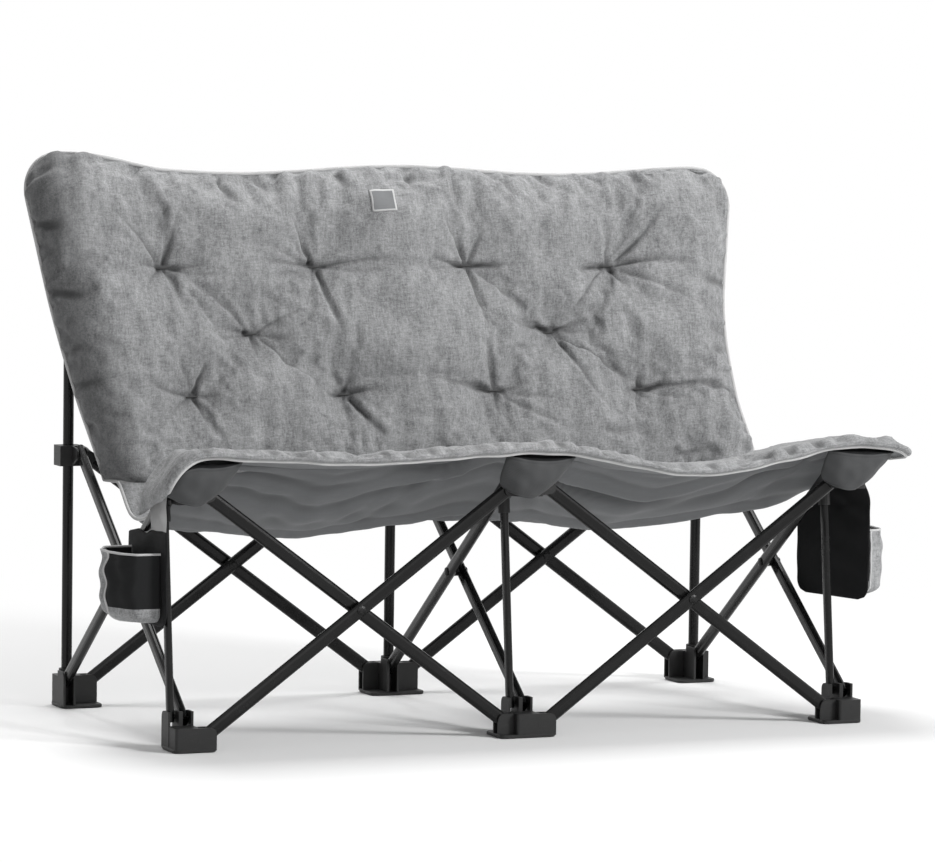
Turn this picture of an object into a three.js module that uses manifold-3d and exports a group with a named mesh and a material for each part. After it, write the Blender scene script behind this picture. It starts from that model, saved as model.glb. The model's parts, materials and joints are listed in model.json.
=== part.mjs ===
// Folding camping loveseat: three leg columns joined by scissor tubes, a tufted back and a sling seat.
// Millimetres. +X runs to the right seen from the front, +Y to the back, +Z up.
import * as THREE from "three";
import { mergeVertices } from "three/addons/utils/BufferGeometryUtils.js";
import Module from "manifold-3d";

const wasm = await Module();
wasm.setup();

// Scissor frame
const COLUMN_PITCH = 620; // from one leg column to the next, across and front to back
const SCISSOR_RISE = 398; // height between the end pins of a crossed tube
const PIN_INSET = 40; // from a column's axis to the end pins of its tubes
const FRONT_PIN_HEIGHT = 30; // low pins of the front tubes
const REAR_PIN_HEIGHT = 44; // low pins of the rear tubes
const SIDE_PIN_HEIGHT = 54; // low pins of the side tubes
const PIN_RADIUS = 4;
const FIT = 0.3; // clearance round a pin and between seated pieces

// Tubes
const TUBE_WIDTH = 24;
const TUBE_THICKNESS = 14;
const TUBE_WALL = 1.4;
const TUBE_END = 12; // tube beyond its end pin
const OVAL_STEPS = 3; // flats of a tube's half round
const PIN_SIDES = 8; // flats of the pins, the rivets and their holes
const CROSS_GAP = 1; // between the two tubes of a front or rear crossing
const SIDE_GAP = 8; // between the two tubes of a side crossing
const POST_DIAMETER = 19;
const POST_WALL = 1.4;
const POST_STEPS = 8; // flats of the post, half way round
const POST_OVER_JOINT = 476; // post above the top pins of the side tubes

// Plastic joints
const EAR_THICKNESS = 4;
const EAR_RADIUS = 11;
const EAR_CLEARANCE = 0.5; // between a tube and the ear beside it
const SWEEP_CLEARANCE = 1.2; // round the corner that a tube end sweeps
const EAR_ROOT = 4; // ear inside the core it grows from
const CORE_CORNER = 5;
const CORE_RIM = 2; // core beyond the ears of a top joint or a slider
const EAR_WEB = 8; // ear's root beyond its eye
const FOOT_BASE = 6;
const FOOT_BEVEL = 1.2;
const FOOT_CORNER = 12;
const FOOT_STEPS = 2; // flats of a base's corner
const FOOT_TOE = 1.5; // base beyond the ears across
const FOOT_HEEL = 1.5; // base beyond the ears front to back
const FOOT_RIM = 1.5; // base beyond the core
const SOCKET_WALL = 4;
const SOCKET_HEIGHT = 66;
const CAP_DOME = 4;
const CAP_PLUG = 16;
const CAP_SIDES = 10;
const CAP_SHOULDER = [0.8, 0.7]; // share of the radius and of the dome where the cap turns over
const HORN_TAPER = 3;

// Front props
const PROP_WIDTH = 18;
const PROP_THICKNESS = 12;
const PROP_SETBACK = 50; // from the side tube's top pin to where the prop carries it
const SADDLE_LENGTH = 28;
const SADDLE_WALL = 3;
const SADDLE_LIP = 2; // saddle's cheeks above the carried tube's axis
const SADDLE_SOCKET = 26;
const SADDLE_ROOT = 6; // socket inside the cradle

// Rivets
const RIVET_RADIUS = 3.5;
const RIVET_HEAD_RADIUS = 8;
const RIVET_HEAD_HEIGHT = 2.6;
const RIVET_CROWN = [0.6, 0.85]; // share of the head's radius and height where its crown turns down
const RIVET_EDGE = 0.45; // share of the head's height at its edge
const COLLAR_LEAST = 2; // shortest half length of a spacer collar

// Back cushion
const BACK_PAST_POST = 60; // top corner beyond an outer post
const BACK_SHORT_FOOT = 32; // lower corner short of an outer post
const BACK_OVER_POST = 34; // top edge above the posts
const BACK_FOOT_DROP = 40; // lower edge below the top pins of the side tubes
const BACK_FOOT_FORWARD = 150; // lower edge in front of the posts
const BACK_DIP = 14; // of the top edge between the posts
const BACK_SAG = 34; // of the lower edge between the columns
const BACK_CORNER = 62;
const BACK_CROWN = 34; // front surface off the middle surface
const BACK_REAR_CROWN = 11;
const BACK_HOLLOW = 10; // lean-in between the columns at half height
const BACK_TOP_FORWARD = 8; // middle of the top edge in front of the posts' axes
const TUFT_PITCH = 145.5;
const TUFT_DROPS = [173, 292, 399]; // rows of tufts below the top edge
const TUFT_DEPTH = 24;
const TUFT_RADIUS = 46;
const SLEEVE_WALL = 2.6;
const SLEEVE_LENGTH = 112;
const SLEEVE_SIDES = 12;
const SLEEVE_TOP = 0.7; // share of the sleeve's radius that its flat end keeps
const BORE_SIDES = 16; // flats of the round bores and grooves
const BACK_CELLS = [42, 13]; // across and up
const BACK_RIM = [0.075, 0.14]; // share of the pad that rounds off to its edge, in front
const BACK_REAR_RIM = [0.05, 0.1];

// Seat
const SEAT_PAST_FRONT = 62; // front corner beyond an outer column
const SEAT_SHORT_REAR = 42; // rear corner short of an outer column
const SEAT_LIP_FORWARD = 62; // front edge ahead of the front columns
const SEAT_LIP_DEPTH = 156; // lip panel, front to rear
const SEAT_RIM = 37; // rounding of the panels' front and rear edges
const SEAT_LIP_HEIGHT = 48; // front edge above the top pins of the side tubes
const SEAT_CROWN = 13; // each face off the middle surface
const SEAT_LIP_CROWN = 6; // extra fullness along the front edge
const SEAT_TUCK = 0.4; // rear edge below the back's lower edge
const SEAT_SIDE_RIM = 0.04; // share of the width that rounds off to the side edges
const SEAT_TAPER = [0.34, 0.84]; // share of the depth where the sides draw in
const SEAT_LIP_FADE = 0.2; // share of the depth over which the lip's extra fullness fades
const SEAT_ACROSS = 30; // cells across
const LIP_ROWS = 5;
const SLING_ROWS = 8;
// drop of the middle surface below the front edge, front to rear, over the columns and between them
const SEAT_OVER_COLUMN = [0, -9, 2, 38, 100, 142, 142];
const SEAT_BETWEEN = [24, 15, 32, 84, 150, 186, 186];

// Front pockets
const POCKET_HALF = 68;
const POCKET_DROP = 34; // lower edge below the top pins of the side tubes
const POCKET_CLOTH = 3;
const POCKET_BULGE = 9;
const POCKET_GAP = 2; // cloth before the top joint
const POCKET_CELLS = [8, 4];
const POCKET_TAPER = 0.45; // share of the width lost at the lower edge

// Side pouches
const FLAP_CLOTH = 3;
const FLAP_LENGTH = 190;
const FLAP_STRAP = 96;
const FLAP_DROP = 247; // lower edge below the top pins of the side tubes
const FLAP_SHOULDER_DROP = 100;
const FLAP_BEHIND = 64; // front edge behind the front columns
const FLAP_GAP = 6; // cloth beside the legs
const FLAP_CORNER = 26;
const FLAP_SHORT = 3; // flap's top below the seat's middle surface
const POUCH_LENGTH = 146;
const POUCH_DEPTH = 70;
const POUCH_DROP = 24; // rim below the flap's shoulder
const POUCH_LIFT = 6; // floor above the flap's lower edge
const POUCH_WALL = 3;
const POUCH_FLAT = 0.45; // share of the depth that the ends run straight out
const POUCH_BOW = [0.95, 0.6]; // how full the bowed face is, outward and along
const POUCH_STEPS = 7;

// Sizes that follow
const SPAN = COLUMN_PITCH - 2 * PIN_INSET;
const TUBE_LENGTH = Math.hypot(SPAN, SCISSOR_RISE);
const REST_ANGLE = Math.atan2(SCISSOR_RISE, SPAN);
const FACETED = Math.cos(Math.PI / PIN_SIDES); // a hole's flats lie this share of its radius out
const PIN_HOLE = (PIN_RADIUS + FIT) / FACETED;
const RIVET_HOLE = (RIVET_RADIUS + FIT) / FACETED;
const CROSS_PLANE = (TUBE_THICKNESS + CROSS_GAP) / 2; // front and rear tubes either side of their row
const SIDE_PLANE = (TUBE_THICKNESS + SIDE_GAP) / 2; // side tubes either side of their column
const FRONT_Y = -COLUMN_PITCH;
const SWEEP = Math.hypot(TUBE_END, TUBE_WIDTH / 2) + SWEEP_CLEARANCE;
const CORE = PIN_INSET - SWEEP; // half width of a joint's core
const EAR_OFFSET = TUBE_THICKNESS / 2 + EAR_CLEARANCE + EAR_THICKNESS / 2;
const CROSS_REACH = CROSS_PLANE + EAR_OFFSET + EAR_THICKNESS / 2; // half depth of a joint's core
const SIDE_REACH = SIDE_PLANE + EAR_OFFSET + EAR_THICKNESS / 2;
const POST_RADIUS = POST_DIAMETER / 2;
const SLEEVE_BORE = (POST_RADIUS + FIT) / Math.cos(Math.PI / SLEEVE_SIDES);
const SLEEVE_RADIUS = SLEEVE_BORE + SLEEVE_WALL;
const SIDE_TOP = SIDE_PIN_HEIGHT + SCISSOR_RISE;
const POST_TOP = SIDE_TOP + POST_OVER_JOINT;
const BACK_TOP = POST_TOP + BACK_OVER_POST;
const BACK_FOOT_HEIGHT = SIDE_TOP - BACK_FOOT_DROP;
const FRONT_TOP = FRONT_PIN_HEIGHT + SCISSOR_RISE;
const REAR_TOP = REAR_PIN_HEIGHT + SCISSOR_RISE;
const LIP_HEIGHT = SIDE_TOP + SEAT_LIP_HEIGHT;

// Materials
const finish = (color, metalness, roughness) => (name) =>
  new THREE.MeshStandardMaterial({ name, color, metalness, roughness });
const steel = finish(0x17181a, 0.6, 0.4);
const plastic = finish(0x101113, 0, 0.6);
const cloth = finish(0x7c7f84, 0, 0.95);
const bright = finish(0xb9bcc0, 0.9, 0.3);

// Solid joins and cuts
function welded(geometry) {
  const bare = geometry.clone();
  bare.deleteAttribute("normal");
  bare.deleteAttribute("uv");
  return mergeVertices(bare, 1e-4);
}

function signedVolume(geometry) {
  const position = geometry.attributes.position;
  const index = geometry.index.array;
  const a = new THREE.Vector3();
  const b = new THREE.Vector3();
  const c = new THREE.Vector3();
  let volume = 0;
  for (let i = 0; i < index.length; i += 3) {
    a.fromBufferAttribute(position, index[i]);
    b.fromBufferAttribute(position, index[i + 1]);
    c.fromBufferAttribute(position, index[i + 2]);
    volume += a.dot(b.cross(c)) / 6;
  }
  return volume;
}

function facingOut(geometry) {
  const shell = welded(geometry);
  if (signedVolume(shell) < 0) {
    const index = shell.index.array;
    for (let i = 0; i < index.length; i += 3) {
      [index[i + 1], index[i + 2]] = [index[i + 2], index[i + 1]];
    }
  }
  return shell;
}

function toSolid(geometry) {
  const shell = facingOut(geometry);
  return new wasm.Manifold(
    new wasm.Mesh({
      numProp: 3,
      vertProperties: new Float32Array(shell.attributes.position.array),
      triVerts: new Uint32Array(shell.index.array),
    }),
  );
}

function toGeometry(solid) {
  const mesh = solid.getMesh();
  const geometry = new THREE.BufferGeometry();
  const points = new Float32Array(mesh.numVert * 3);
  for (let i = 0; i < mesh.numVert; i++) {
    for (let k = 0; k < 3; k++) {
      points[3 * i + k] = mesh.vertProperties[mesh.numProp * i + k];
    }
  }
  geometry.setAttribute("position", new THREE.BufferAttribute(points, 3));
  geometry.setIndex(new THREE.BufferAttribute(new Uint32Array(mesh.triVerts), 1));
  return geometry;
}

function joined(adds, cuts = []) {
  const body = wasm.Manifold.union(adds.map(toSolid));
  if (cuts.length === 0) {
    return toGeometry(body);
  }
  return toGeometry(body.subtract(wasm.Manifold.union(cuts.map(toSolid))));
}

// Flat plates, blocks and pins
const FACING_Y = new THREE.Matrix4().makeBasis(
  new THREE.Vector3(1, 0, 0),
  new THREE.Vector3(0, 0, 1),
  new THREE.Vector3(0, -1, 0),
);
const FACING_X = new THREE.Matrix4().makeBasis(
  new THREE.Vector3(0, 1, 0),
  new THREE.Vector3(0, 0, 1),
  new THREE.Vector3(1, 0, 0),
);
const ALONG_X = new THREE.Matrix4().makeBasis(
  new THREE.Vector3(0, 0, 1),
  new THREE.Vector3(0, -1, 0),
  new THREE.Vector3(1, 0, 0),
);

function slab(shape, thickness, facing) {
  const settings = { depth: thickness, bevelEnabled: false, curveSegments: OVAL_STEPS };
  const plate = new THREE.ExtrudeGeometry(shape, settings).translate(0, 0, -thickness / 2);
  return plate.applyMatrix4(facing);
}

function block(x0, x1, y0, y1, z0, z1) {
  const box = new THREE.BoxGeometry(x1 - x0, y1 - y0, z1 - z0);
  return box.translate((x0 + x1) / 2, (y0 + y1) / 2, (z0 + z1) / 2);
}

function rod(radius, length, axis, segments = PIN_SIDES) {
  const cylinder = new THREE.CylinderGeometry(radius, radius, length, segments);
  if (axis === "x") {
    cylinder.rotateZ(Math.PI / 2);
  }
  if (axis === "z") {
    cylinder.rotateX(Math.PI / 2);
  }
  return cylinder;
}

function roundedOutline(x0, x1, y0, y1, r) {
  const shape = new THREE.Shape();
  shape.moveTo(x0 + r, y0);
  shape.lineTo(x1 - r, y0);
  shape.absarc(x1 - r, y0 + r, r, -Math.PI / 2, 0, false);
  shape.lineTo(x1, y1 - r);
  shape.absarc(x1 - r, y1 - r, r, 0, Math.PI / 2, false);
  shape.lineTo(x0 + r, y1);
  shape.absarc(x0 + r, y1 - r, r, Math.PI / 2, Math.PI, false);
  shape.lineTo(x0, y0 + r);
  shape.absarc(x0 + r, y0 + r, r, Math.PI, 1.5 * Math.PI, false);
  return shape;
}

// Ear outlines: "way" is the side that the ear reaches out to, and "floor" is where a foot's ear stands
function ear(way, root, low, high, pinHeight, floor = null) {
  const shape = new THREE.Shape();
  const pin = way * PIN_INSET;
  const crown = way > 0 ? Math.PI / 2 : -1.5 * Math.PI;
  shape.moveTo(way * root, low);
  if (floor === null) {
    shape.lineTo(pin, pinHeight - EAR_RADIUS);
    shape.absarc(pin, pinHeight, EAR_RADIUS, -Math.PI / 2, crown, way < 0);
  } else {
    shape.lineTo(pin + way * EAR_RADIUS, floor);
    shape.lineTo(pin + way * EAR_RADIUS, pinHeight);
    shape.absarc(pin, pinHeight, EAR_RADIUS, way > 0 ? 0 : Math.PI, Math.PI / 2, way < 0);
  }
  shape.lineTo(way * root, high);
  return shape;
}

// Two ears and a pin across them for a tube that turns in the plane of a row
function crossFork(way, plane, root, low, high, pinHeight, floor = null) {
  const outline = ear(way, root, low, high, pinHeight, floor);
  const pieces = [-1, 1].map((end) =>
    slab(outline, EAR_THICKNESS, FACING_Y).translate(0, plane + end * EAR_OFFSET, 0),
  );
  pieces.push(rod(PIN_RADIUS, 2 * EAR_OFFSET, "y").translate(way * PIN_INSET, plane, pinHeight));
  return pieces;
}

// The same for a tube that turns in the plane of a column
function sideFork(way, plane, root, low, high, pinHeight, floor = null) {
  const outline = ear(way, root, low, high, pinHeight, floor);
  const pieces = [-1, 1].map((end) =>
    slab(outline, EAR_THICKNESS, FACING_X).translate(plane + end * EAR_OFFSET, 0, 0),
  );
  pieces.push(rod(PIN_RADIUS, 2 * EAR_OFFSET, "x").translate(plane, way * PIN_INSET, pinHeight));
  return pieces;
}

// Flat-oval tubes with drilled pin holes, laid along X from the low pin
function ovalOutline(width, thickness) {
  const flat = (width - thickness) / 2;
  const shape = new THREE.Shape();
  shape.absarc(flat, 0, thickness / 2, -Math.PI / 2, Math.PI / 2, false);
  shape.absarc(-flat, 0, thickness / 2, Math.PI / 2, 1.5 * Math.PI, false);
  return shape;
}

function ovalTube(width, thickness, start, length, holes) {
  const outline = ovalOutline(width, thickness);
  outline.holes.push(ovalOutline(width - 2 * TUBE_WALL, thickness - 2 * TUBE_WALL));
  const settings = { depth: length, bevelEnabled: false, curveSegments: OVAL_STEPS };
  const tube = new THREE.ExtrudeGeometry(outline, settings).applyMatrix4(ALONG_X).translate(start, 0, 0);
  const drills = holes.map(([at, radius]) => rod(radius, 2 * thickness, "y").translate(at, 0, 0));
  return joined([tube], drills);
}

function scissorTube() {
  return ovalTube(TUBE_WIDTH, TUBE_THICKNESS, -TUBE_END, TUBE_LENGTH + 2 * TUBE_END, [
    [0, PIN_HOLE],
    [TUBE_LENGTH / 2, RIVET_HOLE],
    [TUBE_LENGTH, PIN_HOLE],
  ]);
}

// Rivets stand along Y, with a spacer collar where the two tubes lie apart
function rivet(plane) {
  const reach = plane + TUBE_THICKNESS / 2 + FIT;
  const gap = plane - TUBE_THICKNESS / 2 - FIT;
  const tip = reach + RIVET_HEAD_HEIGHT;
  const rim = reach + RIVET_HEAD_HEIGHT * RIVET_EDGE;
  const half = [
    [0, tip],
    [RIVET_HEAD_RADIUS * RIVET_CROWN[0], reach + RIVET_HEAD_HEIGHT * RIVET_CROWN[1]],
    [RIVET_HEAD_RADIUS, rim],
    [RIVET_HEAD_RADIUS, reach],
    [RIVET_RADIUS, reach],
  ];
  if (gap > COLLAR_LEAST) {
    half.push([RIVET_RADIUS, gap], [RIVET_HEAD_RADIUS, gap]);
  }
  const profile = half.map(([r, y]) => new THREE.Vector2(r, y));
  const mirrored = half.map(([r, y]) => new THREE.Vector2(r, -y)).reverse();
  return facingOut(new THREE.LatheGeometry([...profile, ...mirrored], PIN_SIDES));
}

// Post, its cap and its cloth sleeve
function postTube() {
  const ring = new THREE.Shape().absarc(0, 0, POST_RADIUS, 0, 2 * Math.PI, false);
  ring.holes.push(new THREE.Path().absarc(0, 0, POST_RADIUS - POST_WALL, 0, 2 * Math.PI, true));
  const settings = { depth: POST_TOP - FOOT_BASE - FIT, bevelEnabled: false, curveSegments: POST_STEPS };
  return facingOut(new THREE.ExtrudeGeometry(ring, settings).translate(0, 0, FOOT_BASE + FIT));
}

function turned(points, segments) {
  const lathe = new THREE.LatheGeometry(points.map(([r, z]) => new THREE.Vector2(r, z)), segments);
  return facingOut(lathe.rotateX(Math.PI / 2));
}

function postCap() {
  const plug = POST_RADIUS - POST_WALL - FIT;
  const seat = POST_TOP + FIT;
  return turned(
    [
      [0, POST_TOP - CAP_PLUG],
      [plug, POST_TOP - CAP_PLUG],
      [plug, seat],
      [POST_RADIUS, seat],
      [POST_RADIUS * CAP_SHOULDER[0], seat + CAP_DOME * CAP_SHOULDER[1]],
      [0, seat + CAP_DOME],
    ],
    CAP_SIDES,
  );
}

function postSleeve() {
  const roof = POST_TOP + CAP_DOME + 2 * FIT;
  const foot = POST_TOP - SLEEVE_LENGTH;
  return turned(
    [
      [0, roof],
      [SLEEVE_BORE, roof],
      [SLEEVE_BORE, foot],
      [SLEEVE_RADIUS, foot],
      [SLEEVE_RADIUS, roof],
      [SLEEVE_RADIUS * SLEEVE_TOP, roof + SLEEVE_WALL],
      [0, roof + SLEEVE_WALL],
    ],
    SLEEVE_SIDES,
  );
}

const COLUMNS = { left: -COLUMN_PITCH, middle: 0, right: COLUMN_PITCH };

// The ways that the tubes of a row reach from each column
const REACH_WAYS = { left: [1], middle: [-1, 1], right: [-1] };

function lowForks(column, root, low, high, pinHeight) {
  const fork = (way) => crossFork(way, -way * CROSS_PLANE, root, low, high, pinHeight, low);
  return REACH_WAYS[column].flatMap(fork);
}

function highForks(column, root, low, high, pinHeight) {
  const fork = (way) => crossFork(way, way * CROSS_PLANE, root, low, high, pinHeight);
  return REACH_WAYS[column].flatMap(fork);
}

// Upright core of a joint, which its ears grow from
function core(low, high) {
  const outline = roundedOutline(-CORE, CORE, -CROSS_REACH, CROSS_REACH, CORE_CORNER);
  return slab(outline, high - low, new THREE.Matrix4()).translate(0, 0, (high + low) / 2);
}

function footPlate(column, y0, y1) {
  const reach = PIN_INSET + EAR_RADIUS + FOOT_TOE;
  const left = column === "left" ? SIDE_REACH + FOOT_RIM : reach;
  const right = column === "right" ? SIDE_REACH + FOOT_RIM : reach;
  const plate = new THREE.ExtrudeGeometry(roundedOutline(-left, right, y0, y1, FOOT_CORNER), {
    depth: FOOT_BASE - 2 * FOOT_BEVEL,
    bevelEnabled: true,
    bevelThickness: FOOT_BEVEL,
    bevelSize: FOOT_BEVEL,
    bevelOffset: -FOOT_BEVEL,
    bevelSegments: 1,
    curveSegments: FOOT_STEPS,
  });
  return plate.translate(0, 0, FOOT_BEVEL);
}

function rearFoot(column) {
  const crown = REAR_PIN_HEIGHT + EAR_RADIUS;
  const base = FOOT_BASE / 2;
  const root = CORE - EAR_ROOT;
  const forks = lowForks(column, root, base, crown, REAR_PIN_HEIGHT);
  const hub = SIDE_PIN_HEIGHT + EAR_RADIUS;
  const side = sideFork(-1, -SIDE_PLANE, root, base, hub, SIDE_PIN_HEIGHT, base);
  const socket = rod(POST_RADIUS + FIT + SOCKET_WALL, SOCKET_HEIGHT - base, "z", BORE_SIDES);
  const yoke = block(-SIDE_REACH, CORE, -CORE, -CROSS_REACH + EAR_THICKNESS, base, crown);
  const bore = rod(POST_RADIUS + FIT, SOCKET_HEIGHT, "z", BORE_SIDES);
  const adds = [
    footPlate(column, -PIN_INSET - EAR_RADIUS - FOOT_HEEL, CROSS_REACH + FOOT_RIM),
    core(base, crown),
    socket.translate(0, 0, (SOCKET_HEIGHT + base) / 2),
    yoke,
    ...forks,
    ...side,
  ];
  return joined(adds, [bore.translate(0, 0, FOOT_BASE + SOCKET_HEIGHT / 2)]);
}

function slider(column) {
  const low = REAR_TOP - EAR_RADIUS - CORE_RIM;
  const high = SIDE_TOP + EAR_RADIUS + CORE_RIM;
  const root = CORE - EAR_ROOT;
  const forks = highForks(column, root, low, high, REAR_TOP);
  const side = sideFork(-1, SIDE_PLANE, root, low, high, SIDE_TOP);
  const yoke = block(-CORE, SIDE_REACH, -CORE, -CROSS_REACH + EAR_THICKNESS, low, high);
  const bore = rod(POST_RADIUS + 2 * FIT, 2 * (high - low), "z", BORE_SIDES);
  return joined([core(low, high), yoke, ...forks, ...side], [bore.translate(0, 0, (high + low) / 2)]);
}

function frontFoot(column) {
  const crown = FRONT_PIN_HEIGHT + EAR_RADIUS;
  const hub = SIDE_PIN_HEIGHT + EAR_RADIUS;
  const base = FOOT_BASE / 2;
  const root = CORE - EAR_ROOT;
  const forks = lowForks(column, root, base, crown, FRONT_PIN_HEIGHT);
  const inner = sideFork(1, SIDE_PLANE, root, base, hub, SIDE_PIN_HEIGHT, base);
  const outer = sideFork(1, -SIDE_PLANE, root, base, hub, SIDE_PIN_HEIGHT, base);
  const yoke = block(-SIDE_REACH, SIDE_REACH, CROSS_REACH - EAR_THICKNESS, CORE, base, crown);
  const plate = footPlate(column, -CROSS_REACH - FOOT_RIM, PIN_INSET + EAR_RADIUS + FOOT_HEEL);
  return joined([plate, core(base, crown), yoke, ...forks, ...inner, ...outer]);
}

function topJoint(column) {
  const low = FRONT_TOP - EAR_RADIUS - CORE_RIM;
  const high = SIDE_TOP + EAR_RADIUS;
  const web = SIDE_TOP - EAR_RADIUS - EAR_WEB;
  const root = CORE - EAR_ROOT;
  const forks = highForks(column, root, low, FRONT_TOP + EAR_RADIUS + EAR_WEB, FRONT_TOP);
  const side = sideFork(1, -SIDE_PLANE, root, web, high, SIDE_TOP);
  const horn = turned(
    [
      [0, high - CORE_RIM],
      [root, high - CORE_RIM],
      [root - HORN_TAPER, LIP_HEIGHT],
      [0, LIP_HEIGHT],
    ],
    PIN_SIDES,
  );
  const yoke = block(-SIDE_REACH, CORE, CROSS_REACH - EAR_THICKNESS, CORE, web, high);
  const body = [core(low, high), horn, yoke, ...forks, ...side];
  return joined(body, [seatAbove(COLUMNS[column])]);
}

// Front prop: stands on the foot's side pin and leans back to the rising side tube
const PROP_REACH = 1 - PROP_SETBACK / TUBE_LENGTH; // share of the side tube's length
const PROP_TOP_Y = -PIN_INSET - PROP_REACH * SPAN;
const PROP_TOP_Z = SIDE_PIN_HEIGHT + PROP_REACH * SCISSOR_RISE;
const PROP_FOOT_Y = FRONT_Y + PIN_INSET;
const PROP_LEAN = Math.atan2(PROP_TOP_Y - PROP_FOOT_Y, PROP_TOP_Z - SIDE_PIN_HEIGHT);
const PROP_REACH_LENGTH = Math.hypot(PROP_TOP_Y - PROP_FOOT_Y, PROP_TOP_Z - SIDE_PIN_HEIGHT);
const SADDLE_FLOOR = TUBE_WIDTH / 2 + FIT; // cradle below the carried tube's axis
const PROP_LENGTH = PROP_REACH_LENGTH - SADDLE_FLOOR - 2 * SADDLE_WALL - SADDLE_ROOT;

function propTube() {
  const end = PROP_WIDTH / 2;
  return ovalTube(PROP_WIDTH, PROP_THICKNESS, -end, PROP_LENGTH + end, [[0, PIN_HOLE]]);
}

// Drawn along the prop from its foot pin; the cradle turns to lie along the carried tube
function propSaddle() {
  const lift = Math.PI / 2 - PROP_LEAN + REST_ANGLE;
  const half = TUBE_THICKNESS / 2 + EAR_CLEARANCE;
  const onTube = (geometry) => geometry.rotateY(lift).translate(PROP_REACH_LENGTH, 0, 0);
  const cradle = block(
    -SADDLE_LENGTH / 2,
    SADDLE_LENGTH / 2,
    -half - SADDLE_WALL,
    half + SADDLE_WALL,
    -SADDLE_FLOOR - 2 * SADDLE_WALL,
    SADDLE_LIP,
  );
  const groove = block(-SADDLE_LENGTH, SADDLE_LENGTH, -half, half, -SADDLE_FLOOR, TUBE_WIDTH);
  const settings = { depth: SADDLE_SOCKET, bevelEnabled: false, curveSegments: OVAL_STEPS };
  const shroud = ovalOutline(PROP_WIDTH + 2 * SADDLE_WALL, PROP_THICKNESS + 2 * SADDLE_WALL);
  const socket = new THREE.ExtrudeGeometry(shroud, settings).applyMatrix4(ALONG_X);
  const hollow = new THREE.ExtrudeGeometry(ovalOutline(PROP_WIDTH + 2 * FIT, PROP_THICKNESS + 2 * FIT), {
    ...settings,
    depth: 2 * SADDLE_SOCKET,
  }).applyMatrix4(ALONG_X);
  const rim = PROP_LENGTH + FIT;
  return joined(
    [onTube(cradle), socket.translate(rim - SADDLE_SOCKET + SADDLE_ROOT, 0, 0)],
    [onTube(groove), hollow.translate(rim - 2 * SADDLE_SOCKET, 0, 0)],
  );
}

// Soft forms: a closed skin round a middle surface, its two faces meeting along the rim
function padded(across, along, middle, over, under) {
  const points = [];
  const index = [];
  const front = [];
  const rear = [];
  const add = (p) => {
    points.push(p.x, p.y, p.z);
    return points.length / 3 - 1;
  };
  const step = 1e-3;
  for (let j = 0; j <= along; j++) {
    front.push([]);
    rear.push([]);
    for (let i = 0; i <= across; i++) {
      const u = (2 * i) / across - 1;
      const v = j / along;
      const at = middle(u, v);
      const rim = i === 0 || j === 0 || i === across || j === along;
      const du = middle(u + step, v).sub(middle(u - step, v));
      const dv = middle(u, v + step).sub(middle(u, v - step));
      const normal = du.cross(dv).normalize();
      front[j].push(add(rim ? at : at.clone().addScaledVector(normal, over(u, v))));
      rear[j].push(rim ? front[j][i] : add(at.clone().addScaledVector(normal, -under(u, v))));
    }
  }
  for (let j = 0; j < along; j++) {
    for (let i = 0; i < across; i++) {
      const a = front[j][i];
      const b = front[j][i + 1];
      const c = front[j + 1][i + 1];
      const d = front[j + 1][i];
      index.push(a, b, c, a, c, d);
      const e = rear[j][i];
      const f = rear[j][i + 1];
      const g = rear[j + 1][i + 1];
      const h = rear[j + 1][i];
      index.push(e, g, f, e, h, g);
    }
  }
  const geometry = new THREE.BufferGeometry();
  geometry.setAttribute("position", new THREE.Float32BufferAttribute(points, 3));
  geometry.setIndex(index);
  return facingOut(geometry);
}

// How full a pad is: 0 at its rim, 1 inside, rounded like a sewn edge
function fullness(u, v, rimU, rimV) {
  const edgeU = Math.min(1, (1 - Math.abs(u)) / rimU);
  const edgeV = Math.min(1, Math.min(v, 1 - v) / rimV);
  const round = (t) => Math.sqrt(Math.max(0, t * (2 - t)));
  return round(edgeU) * round(edgeV);
}

function smooth(t) {
  const s = THREE.MathUtils.clamp(t, 0, 1);
  return s * s * (3 - 2 * s);
}

// 1 on a column and 0 half way to the next
function nearColumn(x) {
  const t = Math.abs(x) / COLUMN_PITCH;
  return 0.5 + 0.5 * Math.cos(2 * Math.PI * Math.min(t, 1));
}

function alongList(list, v) {
  const t = THREE.MathUtils.clamp(v, 0, 1) * (list.length - 1);
  const i = Math.min(Math.floor(t), list.length - 2);
  const at = (k) => list[THREE.MathUtils.clamp(k, 0, list.length - 1)];
  const f = t - i;
  const m0 = (at(i + 1) - at(i - 1)) / 2;
  const m1 = (at(i + 2) - at(i)) / 2;
  const a = 2 * f ** 3 - 3 * f ** 2 + 1;
  const b = f ** 3 - 2 * f ** 2 + f;
  const c = -2 * f ** 3 + 3 * f ** 2;
  const d = f ** 3 - f ** 2;
  return a * at(i) + b * m0 + c * at(i + 1) + d * m1;
}

// Back cushion
const BACK_HALF_TOP = COLUMN_PITCH + BACK_PAST_POST;
const BACK_HALF_FOOT = COLUMN_PITCH - BACK_SHORT_FOOT;

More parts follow.
